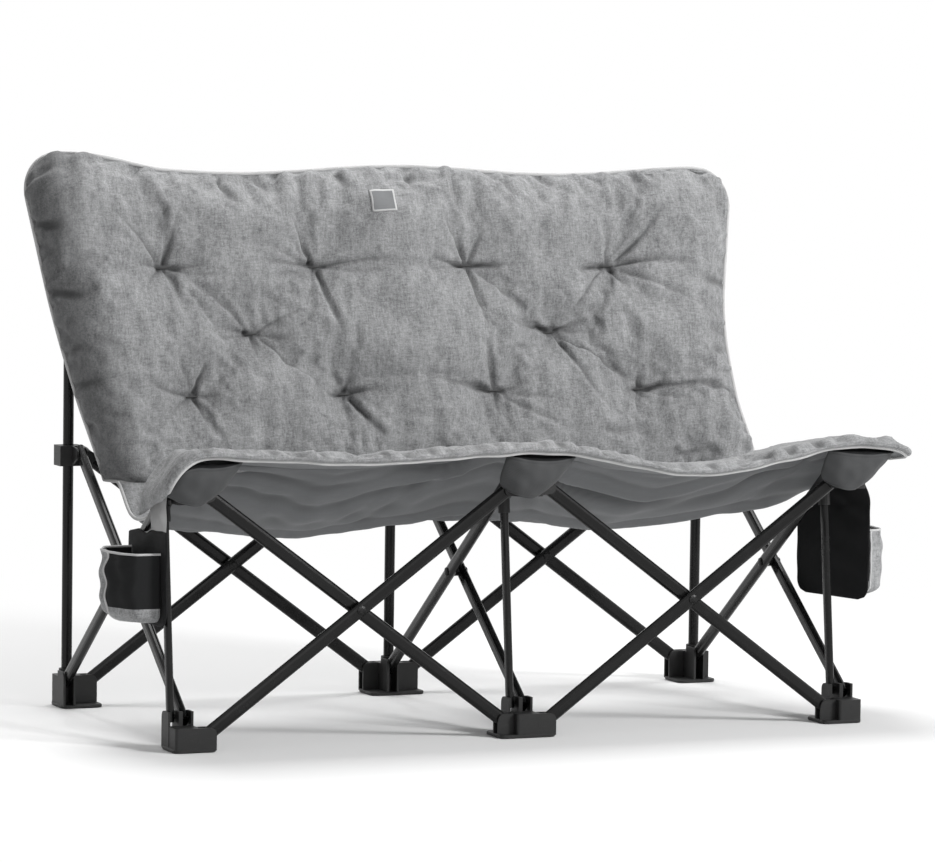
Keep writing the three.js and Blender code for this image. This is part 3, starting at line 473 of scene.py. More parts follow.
def finer(points):
    """The same grid with twice as many cells each way, through the same points."""
    for axis in (0, 1):
        rows = np.moveaxis(points, axis, 0)
        before = np.concatenate([2 * rows[:1] - rows[1:2], rows[:-2]])
        after = np.concatenate([rows[2:], 2 * rows[-1:] - rows[-2:-1]])
        fine = np.empty((2 * len(rows) - 1, *rows.shape[1:]))
        fine[::2] = rows
        fine[1::2] = (9 * (rows[:-1] + rows[1:]) - before - after) / 16
        points = np.moveaxis(fine, 0, axis)
    return points


def flat_cut(points):
    """Width and length that a grid of cloth was cut to, and its area."""
    width = np.linalg.norm(np.diff(points, axis=1), axis=-1).sum(axis=1).max()
    run = np.linalg.norm(np.diff(points, axis=0), axis=-1).sum(axis=0).max()
    over = points[:-1, 1:] - points[:-1, :-1]
    down = points[1:, :-1] - points[:-1, :-1]
    area = np.linalg.norm(np.cross(over, down), axis=-1).sum()
    return (float(width), float(run)), float(min(area, width * run))


def facing(points):
    """The way each point of a grid faces."""
    normal = np.cross(np.gradient(points, axis=1), np.gradient(points, axis=0))
    return normal / np.maximum(np.linalg.norm(normal, axis=-1, keepdims=True), 1e-12)


def on_rim(u, v):
    """True along the sewn edge of a pad."""
    return (np.abs(u) > 1 - RIM) | (v < RIM) | (v > 1 - RIM)


def fullness(u, v, rim_u, rim_v):
    """0 at a pad's sewn edge and 1 inside."""
    return rounded((1 - np.abs(u)) / rim_u) * rounded(np.minimum(v, 1 - v) / rim_v)


def ripple(seed, place, coarse, fine):
    """Irregular waves along a line, about 1 high, with wavelengths between fine and coarse."""
    draw = np.random.default_rng(seed)
    total = np.zeros_like(place)
    for _ in range(RIPPLES):
        wave = lerp(fine, coarse, draw.random())
        total += np.sin(2 * math.pi * (place / wave + draw.random())) * (0.5 + draw.random())
    return total / math.sqrt(RIPPLES)


def hills(seed, x, y, size):
    """Irregular low hills over a surface, about 1 high."""
    draw = np.random.default_rng(seed)
    total = np.zeros(np.broadcast(x, y).shape)
    for _ in range(HILLS):
        turn = draw.random() * math.pi
        wave = size * lerp(0.7, 1.8, draw.random())
        run = x * math.cos(turn) + y * math.sin(turn)
        total += np.sin(2 * math.pi * (run / wave + draw.random()))
    return total / math.sqrt(HILLS)


def fold(x, y, start, end, width, bow):
    """1 along a bowed line from start to end, with a low ridge either side, fading at both ends."""
    way = np.subtract(end, start)
    span = np.hypot(*way)
    along = ((x - start[0]) * way[0] + (y - start[1]) * way[1]) / span**2
    held = np.clip(along, 0, 1)
    side = ((y - start[1]) * way[0] - (x - start[0]) * way[1]) / span
    off = np.abs(side - bow * span * held * (1 - held))
    wide = width * (1 + 0.8 * held)
    groove = bell(off, wide) - RIDGE_HEIGHT * bell(off - RIDGE_AWAY * wide, RIDGE_WIDTH * wide)
    return groove * smooth((along + 0.04) / 0.1) * (1 - held) ** 0.8


# Meshes, and the cloth of a skin
TUBE_SIDES = 3
CLOTH_RULES = {
    "vertex_group_mass": "sewn",
    "quality": 6,
    "mass": 0.002,
    "tension_stiffness": 12,
    "compression_stiffness": 8,
    "shear_stiffness": 4,
    "bending_stiffness": 0.4,
    "air_damping": 2,
    "use_pressure": True,
}


def linked(name, data):
    """A new object in the scene."""
    made = bpy.data.objects.new(name, data)
    bpy.context.scene.collection.objects.link(made)
    return made


def make_piece(name, points, faces, materials, face_slots=None, crease=None):
    """A smooth-shaded mesh object."""
    mesh = bpy.data.meshes.new(name)
    mesh.from_pydata(np.asarray(points).reshape(-1, 3).tolist(), [], np.asarray(faces).tolist())
    for material in materials:
        mesh.materials.append(finishes()[material])
    if face_slots is not None:
        mesh.polygons.foreach_set("material_index", np.asarray(face_slots, np.int32))
    # The crease attribute carries painted shade: the cloth finishes mix towards a darker tone where it is
    # high
    if crease is not None:
        painted = mesh.attributes.new("crease", "FLOAT", "POINT")
        painted.data.foreach_set("value", np.asarray(crease, np.float32).ravel())
    mesh.shade_smooth()
    return linked(name, mesh)


def quads(index):
    """Faces of a grid of vertex numbers."""
    corners = (index[:-1, :-1], index[:-1, 1:], index[1:, 1:], index[1:, :-1])
    return np.stack(corners, axis=-1).reshape(-1, 4)


def numbered(points):
    """Vertex numbers of a grid."""
    return np.arange(points[..., 0].size).reshape(points.shape[:2])


def pad_piece(name, front, rear, materials, crease, rear_painted_shade, rear_slots=None):
    """A closed pad from two grids whose rims meet."""
    front_index = numbered(front)
    rear_index = front_index.copy()
    rear_index[1:-1, 1:-1] = front_index.size + numbered(rear[1:-1, 1:-1])
    points = np.concatenate([front.reshape(-1, 3), rear[1:-1, 1:-1].reshape(-1, 3)])
    # Painted shade of both faces, carried as the crease attribute
    shade = np.concatenate([crease.ravel(), rear_painted_shade[1:-1, 1:-1].ravel()])
    front_faces = quads(front_index)
    rear_faces = quads(rear_index)[:, ::-1]
    if rear_slots is None:
        rear_slots = np.ones(len(rear_faces), int)
    slots = np.concatenate([np.zeros(len(front_faces), int), rear_slots])
    return make_piece(name, points, np.concatenate([front_faces, rear_faces]), materials, slots, shade)


def layer_piece(name, points, thickness, materials, face_slots=None, crease=None, rear_slots=None):
    """A layer of cloth of that thickness over a grid."""
    half = facing(points) * thickness / 2
    index = numbered(points)
    rim = rim_of(index)
    after = np.roll(rim, -1)
    edge = np.stack([after, rim, rim + index.size, after + index.size], axis=-1)
    faces = np.concatenate([quads(index), quads(index + index.size)[:, ::-1], edge])
    slots = None
    if face_slots is not None:
        behind = face_slots if rear_slots is None else rear_slots
        slots = np.concatenate([face_slots, behind, np.full(len(edge), face_slots[0])])
    # Painted shade, the same on both faces, carried as the crease attribute
    shade = None
    if crease is not None:
        shade = np.concatenate([crease.ravel(), crease.ravel()])
    return make_piece(name, np.concatenate([points + half, points - half]), faces, materials, slots, shade)


def tube_piece(name, paths, radius, material, closed=False):
    """Round tubes along paths, as one mesh."""
    curve = bpy.data.curves.new(name, "CURVE")
    curve.dimensions = "3D"
    curve.bevel_depth = radius
    curve.bevel_resolution = TUBE_SIDES
    curve.use_fill_caps = not closed
    for path in paths:
        path = np.asarray(path)
        spline = curve.splines.new("POLY")
        spline.points.add(len(path) - 1)
        spline.points.foreach_set("co", np.column_stack([path, np.ones(len(path))]).ravel())
        spline.use_cyclic_u = closed
    drawn = linked(f"{name}_path", curve)
    shown = drawn.evaluated_get(bpy.context.evaluated_depsgraph_get())
    mesh = bpy.data.meshes.new_from_object(shown)
    bpy.data.objects.remove(drawn)
    mesh.name = name
    mesh.materials.clear()
    mesh.materials.append(finishes()[material])
    mesh.shade_smooth()
    return linked(name, mesh)


def rim_of(points):
    """The rim of a grid as a closed path."""
    return np.concatenate([points[0], points[1:, -1], points[-1, -2::-1], points[-2:0:-1, 0]])


def settle(points, sewn, pressure, slack, frames, reach):
    """Where a skin of cloth settles under its filling's pressure, held where it is sewn."""
    index = numbered(points)
    mesh = bpy.data.meshes.new("skin")
    mesh.from_pydata(points.reshape(-1, 3).tolist(), [], quads(index).tolist())
    skin = linked("skin", mesh)
    held = skin.vertex_groups.new(name="sewn")
    held.add(index[sewn].ravel().tolist(), 1.0, "REPLACE")
    cloth = skin.modifiers.new("cloth", "CLOTH")
    for name, value in CLOTH_RULES.items():
        setattr(cloth.settings, name, value)
    cloth.settings.uniform_pressure_force = pressure
    cloth.settings.shrink_min = -slack
    cloth.settings.effector_weights.gravity = 0
    cloth.point_cache.frame_start = 1
    cloth.point_cache.frame_end = frames
    for step in range(1, frames + 1):
        bpy.context.scene.frame_set(step)
    shown = skin.evaluated_get(bpy.context.evaluated_depsgraph_get())
    moved = np.empty(points.size, np.float32)
    shown.data.vertices.foreach_get("co", moved)
    bpy.data.objects.remove(skin)
    bpy.context.scene.frame_set(1)
    shift = moved.reshape(points.shape) - points
    far = np.linalg.norm(shift, axis=-1, keepdims=True)
    return points + shift * np.minimum(1, reach / np.maximum(far, 1e-9))


def gather(piece, body):
    """Rides a soft piece on its body."""
    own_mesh(piece)
    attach(piece, body)


# Back pad
PAD_FACES = ("heather_melange", "plain_lining")
BACK_ACROSS = 110
BACK_ALONG = 45
BACK_HOLLOW = 0.010
LEFT_DRAPE = (0.0, 0.017, 0.027, 0.028, 0.028)
RIGHT_DRAPE = (0.082, 0.030, -0.002, -0.005, -0.004)
HORN = (0.70, 0.28)
ROLL_START = 0.88
ROLL_RUN = 0.12
# Where the painted shade along the rolled left edge begins, and how far it runs
ROLL_DARK = (0.86, 0.11)

# Tufts: each row's drop below the top edge, its shift to the right, and its places in half pitches
TUFT_DROPS = (0.184, 0.303, 0.409)
TUFT_SHIFTS = (-0.034, -0.018, 0.004)
TUFT_STEPS = ((-3, -1, 1, 3), (-2, 2), (-3, -1, 1, 3))
TUFT_WIDER = 1.3
TUFT_LOWER = 1.15
STITCH_HALF = 0.011
STITCH_LIFT = 0.0016
STITCH_OFF = 0.0006
STITCH_SLANT = 0.06
STITCH_RADIUS = 0.0013

# Blank label
LABEL_PLACE = (-0.050, 0.885)
LABEL_SIZE = (0.048, 0.042)
LABEL_ROW = -20
LABEL_OFF = 0.0014
LABEL_CLOTH = 0.0010

# Relief of the back's cloth
WIDE_SWELL = 0.0026
FINE_SWELL = 0.0008
REAR_SWELL = 0.0016
REAR_DIMPLE = 0.006
LOW_DRAPE = 0.0019
HIGH_DRAPE = 0.0013
HIGH_DRAPE_AT = (0.80, 0.10)
GATHER_START = 0.012
GATHER_FADE = 0.030

# How much shade is painted on the cloth: in creases, in their grooves, at a tuft, round it, and along the
# rolled edge
PULL_SHADE = 0.45
LINE_SHADE = 0.75
TUFT_SHADE = 0.75
HOLLOW_SHADE = 0.13
ROLL_SHADE = 0.60

# Creases: widths, bows, and where one starts, in metres from its tuft for each millimetre of its reach
MILLIMETRE = 0.001
PULL_WIDTH = 0.0040
LINE_WIDTH = 0.0024
LOOSE_WIDTH = 0.0060
PULL_BOW = 0.5
LOOSE_BOW = 0.9
PULL_START = (0.00009, 0.00005)
PULL_LIMIT = 110

# Creases at each tuft: where they end, in millimetres from the tuft, and how deep they are
TUFT_PULLS = (
    ((-113, 109, 0.6), (12, 73, 0.6), (43, 122, 0.5), (82, 7, 0.8), (101, -16, 0.5), (19, -47, 0.5),
     (-43, -42, 0.5), (-60, 4, 0.6)),
    ((-53, 53, 0.7), (-111, 44, 0.6), (-111, 9, 0.8), (-53, 93, 0.9), (158, 9, 0.7), (125, -9, 0.5),
     (43, -129, 0.8), (-20, -60, 0.4)),
    ((-80, 18, 1.0), (-88, -6, 0.6), (67, -6, 0.9), (131, 0, 0.4), (-11, 71, 0.5), (-54, 103, 0.6),
     (37, 67, 0.5), (28, -139, 0.7), (140, -99, 0.5)),
    ((-84, -6, 1.0), (-75, -14, 0.5), (183, -4, 0.7), (157, 8, 0.5), (119, 115, 0.8), (-6, 75, 0.4),
     (30, -40, 1.0), (-106, -107, 0.7), (-2, -56, 0.5), (205, -87, 0.5)),
    ((-63, 11, 0.9), (-72, -7, 0.6), (87, -11, 0.5), (116, 42, 0.5), (149, -109, 0.65), (5, -47, 0.5),
     (-154, 122, 0.6)),
    ((-47, 14, 1.0), (-99, 22, 0.5), (73, 10, 0.6), (86, -2, 0.6), (175, -99, 0.85), (99, -141, 0.8)),
    ((22, 58, 1.1), (-101, 31, 0.6), (24, -49, 0.9), (53, -4, 0.5), (-63, -53, 0.4), (-30, 60, 0.4)),
    ((-39, 0, 0.7), (67, 9, 0.9), (-22, 40, 0.6), (10, 40, 0.6), (77, -84, 1.0), (5, -67, 0.4)),
    ((-112, 18, 0.8), (-172, 42, 0.5), (47, 6, 0.8), (99, -14, 0.4), (-22, 105, 0.5), (4, -54, 0.5),
     (168, -81, 0.4)),
    ((-34, -4, 0.7), (2, 36, 0.6), (43, 8, 0.9), (160, 4, 0.6), (116, -22, 0.5), (-13, -56, 0.4)),
)

# Folds away from the tufts: start, end and depth
LOOSE_FOLDS = (
    ((0.645, 0.748), (0.562, 0.760), 0.9),
    ((0.652, 0.650), (0.595, 0.672), 0.7),
    ((0.655, 0.630), (0.560, 0.620), 0.7),
    ((0.630, 0.548), (0.520, 0.560), 0.7),
    ((0.350, 0.479), (0.440, 0.492), 0.5),
    ((-0.676, 0.742), (-0.605, 0.730), 0.8),
    ((-0.690, 0.860), (-0.640, 0.850), 0.7),
    ((-0.640, 0.575), (-0.570, 0.600), 0.5),
    ((-0.350, 0.945), (-0.318, 0.880), 0.9),
    ((-0.285, 0.945), (-0.262, 0.905), 0.8),
    ((-0.125, 0.945), (-0.110, 0.905), 0.8),
    ((0.012, 0.950), (0.020, 0.905), 0.8),
    ((0.210, 0.945), (0.205, 0.900), 0.6),
    ((0.455, 0.945), (0.470, 0.900), 0.6),
)


def tufts(sizes):
    """Where the tufts are sewn, as x and height."""
    rows = zip(TUFT_DROPS, TUFT_SHIFTS, TUFT_STEPS)
    places = [(shift, step, drop) for drop, shift, steps in rows for step in steps]
    return [(shift + step * sizes.tuft_pitch, BACK_TOP - drop) for shift, step, drop in places]


def tuft_distance(x, z, sizes):
    """How far a place on the back is from the nearest tuft, which is wider than high."""
    return np.min([np.hypot((x - cx) / TUFT_WIDER, (z - cz) * TUFT_LOWER) for cx, cz in tufts(sizes)], axis=0)


def back_middle(u, v, sizes):
    """Middle surface of the back pad."""
    drape = np.where(u < 0, through(LEFT_DRAPE, v), through(RIGHT_DRAPE, v))
    half = lerp(sizes.half_foot, sizes.half_top, v) + drape
    below = (1 - v) * (BACK_TOP - sizes.foot)
    bend = np.clip(sizes.corner - below, 0, None) / sizes.corner
    x = u * (half - sizes.corner * (1 - np.sqrt(np.clip(1 - bend**2, 0, 1))))
    between = 1 - near_column(x)
    top = BACK_TOP - sizes.dip * between + sizes.horn * eased(-u, *HORN)
    z = lerp(sizes.foot - sizes.sag * between, top, v)
    hollow = BACK_HOLLOW * np.sin(math.pi * v) * between
    rolled = sizes.roll * np.clip((-u - ROLL_START) / ROLL_RUN, 0, 1) ** 2
    y = POST_Y + lerp(-sizes.foot_forward, -sizes.top_forward, v) + hollow + rolled
    return np.stack([x, y, z], axis=-1)


def tuft_creases(x, z, sizes, width):
    """Creases of that width that run out from the tufts, from 0 to about 1."""
    draw = np.random.default_rng(11)
    total = np.zeros_like(x)
    for (cx, cz), pulls in zip(tufts(sizes), TUFT_PULLS):
        for right, up, depth in pulls:
            near = np.clip((right, up), -PULL_LIMIT, PULL_LIMIT) * PULL_START
            tip = (cx + MILLIMETRE * right, cz + MILLIMETRE * up)
            bow = PULL_BOW * (draw.random() - 0.5)
            total += depth * fold(x, z, (cx + near[0], cz + near[1]), tip, width, bow)
    return total


def back_folds(x, z):
    """Folds away from the tufts."""
    draw = np.random.default_rng(5)
    total = np.zeros_like(x)
    for start, end, depth in LOOSE_FOLDS:
        total += depth * fold(x, z, start, end, LOOSE_WIDTH, LOOSE_BOW * (draw.random() - 0.5))
    return total


def drapes(x, z):
    """Soft upright waves, below the lower tufts and under the top edge."""
    low = ripple(24, x + 0.05 * np.sin(9 * z), 0.095, 0.032) * smooth((0.66 - z) / 0.14)
    high = ripple(25, x - 0.25 * (z - 0.8), 0.080, 0.028) * eased(z, *HIGH_DRAPE_AT)
    return LOW_DRAPE * low + HIGH_DRAPE * high


def edge_gathers(u, v, points, depth):
    """Puckers that fade inward from a pad's sewn edge."""
    x = points[..., 0]
    rise = points[..., 2] + points[..., 1]
    side = np.minimum(1 - np.abs(u), 1) * np.abs(x).max()
    end = np.minimum(v, 1 - v) * np.ptp(rise)
    at_side = rounded(side / GATHER_START) * np.exp(-side / GATHER_FADE) * ripple(21, rise, 0.065, 0.022)
    at_end = rounded(end / GATHER_START) * np.exp(-end / GATHER_FADE) * ripple(22, x, 0.070, 0.020)
    return depth * (at_side + at_end)


class LOVESEAT_OT_back_pad(bpy.types.Operator):
    """Builds the tufted back pad"""

    bl_idname = "loveseat.back_pad"
    bl_label = "Back pad"

    def execute(self, context):
        sizes = context.scene.loveseat_back
        skin = self.skin(sizes)
        u, v = spread(4 * BACK_ACROSS, 4 * BACK_ALONG)
        middle = back_middle(u, v, sizes)
        x, z = middle[..., 0], middle[..., 2]
        away = tuft_distance(x, z, sizes)
        rim = on_rim(u, v)
        folds = back_folds(x, z)
        pulls = tuft_creases(x, z, sizes, PULL_WIDTH) + folds
        lines = tuft_creases(x, z, sizes, LINE_WIDTH) + 0.7 * folds
        soft = rounded(np.minimum(1 - np.abs(u), np.minimum(v, 1 - v)) / 0.05)
        gathers = edge_gathers(u, v, middle, sizes.pucker)
        relief = gathers + soft * drapes(x, z)
        relief += soft * (WIDE_SWELL * hills(3, x, z, 0.13) + FINE_SWELL * hills(4, x, z, 0.04))
        relief -= sizes.crease * soft * np.clip(pulls, -0.6, 1.25)
        front = np.where(rim[..., None], middle, finer(finer(skin)))
        front = front + facing(front) * np.where(rim, 0, relief)[..., None]
        rear_depth = fullness(u, v, 0.05, 0.1) * (sizes.rear_crown - REAR_DIMPLE * bell(away, 0.03))
        rear_relief = 0.6 * gathers + REAR_SWELL * soft * hills(9, x, z, 0.16)
        rear = middle - facing(middle) * (rear_depth + np.where(rim, 0, rear_relief))[..., None]
        # Painted shade: in the creases and their grooves, at each tuft and round it, and along the left edge
        # that rolls back from the light
        shade = np.clip(PULL_SHADE * pulls + LINE_SHADE * lines, 0, 0.85) * soft
        shade += TUFT_SHADE * bell(away, 0.009) + HOLLOW_SHADE * bell(away, 0.034)
        shade += ROLL_SHADE * eased(-u, *ROLL_DARK)
        # Painted shade on the rear face round each tuft
        rear_shade = 0.7 * bell(away, 0.012)
        pad = pad_piece("back_pad", front, rear, PAD_FACES, np.clip(shade, 0, 0.9), rear_shade)
        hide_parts("back_cushion")
        trim = tube_piece("back_piping", [rim_of(middle)], sizes.piping, "binding_tape", closed=True)
        stitches = self.stitches(front, x, z, sizes)
        label = self.label(front, x, z)
        for piece in (pad, trim, stitches, label):
            gather(piece, "back")
        return {"FINISHED"}

    def skin(self, sizes):
        """Front skin of the pad, settled over its filling."""
        u, v = spread(BACK_ACROSS, BACK_ALONG)
        middle = back_middle(u, v, sizes)
        away = tuft_distance(middle[..., 0], middle[..., 2], sizes)
        drawn = 0.7 * bell(away, sizes.tuft_width) + 0.3 * bell(away, 0.018)
        depth = fullness(u, v, 0.075, 0.14) * (sizes.crown - sizes.tuft_depth * drawn)
        front = middle + facing(middle) * depth[..., None]
        sewn = on_rim(u, v) | (away < STITCH_HALF)
        return settle(front, sewn, pressure=2.2, slack=0.035, frames=26, reach=0.020)

    def stitches(self, front, x, z, sizes):
        """A bar of thread across each tuft."""
        bars = []
        run = np.linspace(-STITCH_HALF, STITCH_HALF, 9)
        lift = STITCH_LIFT * np.cos(run / STITCH_HALF * math.pi / 2)
        normal = facing(front)
        for cx, cz in tufts(sizes):
            spot = np.unravel_index(np.argmin(np.hypot(x - cx, z - cz)), x.shape)
            base = front[spot] + normal[spot] * STITCH_OFF
            bars.append(base + np.outer(run, (1, 0, STITCH_SLANT)) + np.outer(lift, (0, -1, 0)))
        return tube_piece("back_tuft_stitches", bars, STITCH_RADIUS, "sewing_thread")

    def label(self, front, x, z):
        """A plain blank label with a pale edge, sewn to the front."""
        across = np.flatnonzero(np.abs(x[LABEL_ROW] - LABEL_PLACE[0]) < LABEL_SIZE[0] / 2)
        down = np.flatnonzero(np.abs(z[:, across[0]] - LABEL_PLACE[1]) < LABEL_SIZE[1] / 2)
        points = (front + facing(front) * LABEL_OFF)[np.ix_(down, across)]
        edge = np.ones((points.shape[0] - 1, points.shape[1] - 1), int)
        edge[1:-1, 1:-1] = 0
        label = layer_piece("back_label", points, LABEL_CLOTH, ("plain_lining", "binding_tape"), edge.ravel())
        declare_cloth(points)
        return label


# Post sleeves
SLEEVE_SIDES = 32
SLEEVE_ROWS = 30
SLEEVE_CLOTH = 0.0014
SLEEVE_HEM = 0.0012
SLEEVE_WRINKLE = 0.0007
SLEEVE_TIP = 0.0004


class LOVESEAT_OT_sleeves(bpy.types.Operator):
    """Builds the cloth sleeves over the post tops"""

    bl_idname = "loveseat.sleeves"
    bl_label = "Post sleeves"

    def execute(self, context):
        around = np.linspace(0, 2 * math.pi, SLEEVE_SIDES + 1)
        share = np.linspace(0, 1, SLEEVE_ROWS + 1)[:, None]
        dome = rounded((1 - share) / 0.06)
        for column, x in COLUMNS.items():
            low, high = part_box(f"post_sleeve_{column}")
            radius = (high.x - low.x) / 2
            wrinkle = SLEEVE_WRINKLE * hills(31, 2 * radius * np.sin(around), share * (high.z - low.z), 0.02)
            hem = SLEEVE_HEM * bell(share - 0.06, 0.05)
            ring = np.maximum((radius + hem + wrinkle) * dome, SLEEVE_TIP)
            z = np.broadcast_to(lerp(low.z, high.z, share), ring.shape)
            points = np.stack([x + ring * np.cos(around), POST_Y + ring * np.sin(around), z], axis=-1)
            sleeve = layer_piece(f"cloth_sleeve_{column}", points, SLEEVE_CLOTH, ("plain_lining",))
            declare_cloth(points)
            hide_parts(f"post_sleeve_{column}")
            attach(sleeve, f"rear_column_{column}")
        return {"FINISHED"}


# Seat: how far it lies below the lip, over the columns and between them, from its front towards its rear
SEAT_OVER_COLUMN = (0, 0.008, 0.018, 0.058, 0.112, 0.140, 0.138)
SEAT_BETWEEN = (0, 0.010, 0.030, 0.078, 0.134, 0.162, 0.164)
LEFT_NARROWS = (0.22, 0.30)
RIGHT_NARROWS = (0.34, 0.50)
CURL_FADES = (0.22, 0.35)
SEAT_TUCK = 0.0004
SEAM_GAP = 0.0003
CURL_START = PITCH - 0.012
LEAST_CURL = 0.001
SEAT_ACROSS = 130
LIP_ALONG = 16
SLING_ALONG = 36
LIP_PIPING = 0.0032
SLING_PIPING = 0.0030
PIPING_OFF = 0.0008

# Seat: relief of its cloth, and the folds that run out below it from the joints
GATHER_HEIGHT = 0.0026
GATHER_PLACE = 0.012
GATHER_WIDTH = 0.022
LIP_SWELL = 0.0014
LOWER_LIP_SWELL = 0.0012
SLING_SWELL = 0.0020
UNDER_SWELL = 0.0026
UNDER_FOLD = 0.0110
UNDER_WAVE = 0.0045
UNDER_FOLDS = 7
UNDER_WIDTH = 0.010
UNDER_BOW = 0.4


def seat_edge(way, v, sizes):
    """Half width of the seat on one side, from its front to its rear."""
    narrows = np.where(way < 0, eased(v, *LEFT_NARROWS), eased(v, *RIGHT_NARROWS))
    return lerp(sizes.half_front + way * sizes.shift, sizes.half_rear, narrows)


def seat_middle(u, v, sizes, back):
    """Middle surface of the seat, from its front edge to the back's lower edge."""
    bend = np.clip((np.abs(u) - 1) * sizes.half_front / sizes.corner + 1, 0, 1)
    front = LIP_LOW.y + sizes.corner * (1 - np.sqrt(1 - bend**2))
    y = lerp(front, POST_Y - back.foot_forward, v)
    edge = seat_edge(np.sign(u), v, sizes)
    beyond = np.maximum(edge - CURL_START, LEAST_CURL)
    reach = np.abs(u) * edge
    turn = np.clip((reach - CURL_START) / beyond, 0, 1) * math.pi / 2
    x = np.sign(u) * (np.minimum(reach, CURL_START) + beyond * np.sin(turn))
    rear = sizes.lip_height - back.foot + SEAT_TUCK
    over = through(SEAT_OVER_COLUMN + (rear,), v)
    between = through(SEAT_BETWEEN + (rear + back.sag,), v)
    between = between + np.where(u < 0, sizes.sag_left, sizes.sag_right) * (1 - smooth(v / 0.7))
    on = near_column(x)
    curl = np.where(u < 0, sizes.curl_left * (1 + 0.25 * smooth(v / 0.25)), sizes.curl_right)
    hang = curl * (1 - np.cos(turn)) * (1 - eased(v, *CURL_FADES))
    z = sizes.lip_height - on * over - (1 - on) * between - hang
    return np.stack([x, y, z], axis=-1)


def seat_share(y, back):
    """Share of the seat's depth at a place front to back."""
    return (y - LIP_LOW.y) / (POST_Y - back.foot_forward - LIP_LOW.y)


def seat_at(x, y, sizes, back):
    """Height of the seat's middle surface at a place."""
    v = seat_share(y, back)
    edge = seat_edge(np.sign(x), v, sizes)
    beyond = np.maximum(edge - CURL_START, LEAST_CURL)
    turn = np.arcsin(np.clip((np.abs(x) - CURL_START) / beyond, 0, 1))
    reach = np.minimum(np.abs(x), CURL_START) + beyond * turn / (math.pi / 2)
    return seat_middle(np.sign(x) * np.clip(reach / edge, 0, 1), v, sizes, back)[..., 2]


def seat_faces(u, w, start, end, sizes, back):
    """Middle surface, facing and half thickness of one panel of the seat."""
    v = lerp(start, end, w)
    middle = seat_middle(u, v, sizes, back)
    depth = (end - start) * (POST_Y - back.foot_forward - LIP_LOW.y)
    full = fullness(u, w, 0.04, sizes.rim / depth)
    return middle, facing(middle), full * (sizes.crown + sizes.lip_crown * (1 - smooth(v / 0.2)))


def seat_panel(along, start, end, sizes, back, slack, reach):
    """Grid, middle surface, facing, half thickness, settled top and softness of one panel of the seat."""
    u, w = spread(SEAT_ACROSS, along)
    middle, normal, half = seat_faces(u, w, start, end, sizes, back)
    skin = middle + normal * half[..., None]
    skin = settle(skin, on_rim(u, w), pressure=1.8, slack=slack, frames=24, reach=reach)
    u, w = spread(2 * SEAT_ACROSS, 2 * along)
    middle, normal, half = seat_faces(u, w, start, end, sizes, back)
    top = np.where(on_rim(u, w)[..., None], middle, finer(skin))
    soft = rounded(np.minimum((1 - np.abs(u)) * 8, np.minimum(w, 1 - w) * 7))
    return u, w, middle, normal, half, top, soft


def declare_cloth(points):
    """Measures the size and area that a layer of cloth was cut to, and keeps neither."""
    cut, area = flat_cut(points)


class LOVESEAT_OT_seat_lip(bpy.types.Operator):
    """Builds the padded lip along the seat's front"""

    bl_idname = "loveseat.seat_lip"
    bl_label = "Seat lip"

    def execute(self, context):
        sizes = context.scene.loveseat_seat
        back = context.scene.loveseat_back
        end = seat_share(SEAM_Y, back)
        u, w, middle, normal, half, top, soft = seat_panel(LIP_ALONG, 0, end, sizes, back, 0.04, 0.006)
        x, y = middle[..., 0], middle[..., 1]
        inward = w * (SEAM_Y - LIP_LOW.y)
        gathers = ripple(41, x, 0.055, 0.016) * bell(inward - GATHER_PLACE, GATHER_WIDTH)
        relief = soft * (GATHER_HEIGHT * gathers + LIP_SWELL * hills(43, x, y, 0.07))
        top = top + facing(top) * relief[..., None]
        low = middle - normal * (half + LOWER_LIP_SWELL * soft * hills(44, x, y, 0.09))[..., None]
        # Painted shade in the troughs of the gathers, with a slight even darkening over the whole lip
        shade = np.clip(0.08 - 0.60 * gathers, 0, 0.8) * soft
        along_front = inward[:-1, :-1] < sizes.band
        along_ends = ((1 - np.abs(u)) * sizes.half_front)[:-1, :-1] < sizes.band
        slots = np.where(along_front | along_ends, 0, 1).ravel()
        pad = pad_piece("seat_lip_pad", top, low, PAD_FACES, shade, 0 * shade, slots)
        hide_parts("seat_lip")
        seam = self.seam(low - normal * PIPING_OFF, sizes)
        trim = tube_piece("lip_piping", [seam], LIP_PIPING, "binding_tape")
        for piece in (pad, trim):
            gather(piece, "top_joint_middle")
        return {"FINISHED"}

    def seam(self, lower, sizes):
        """The inner edge of the band round the lip, along its left, its front and its right."""
        row = int(round(sizes.band / (SEAM_Y - LIP_LOW.y) * 2 * LIP_ALONG))
        column = int(round(sizes.band / sizes.half_front * SEAT_ACROSS))
        left = lower[-1:row:-1, column]
        front = lower[row, column : 2 * SEAT_ACROSS - column + 1]
        right = lower[row + 1 :, 2 * SEAT_ACROSS - column]
        return np.concatenate([left, front, right])


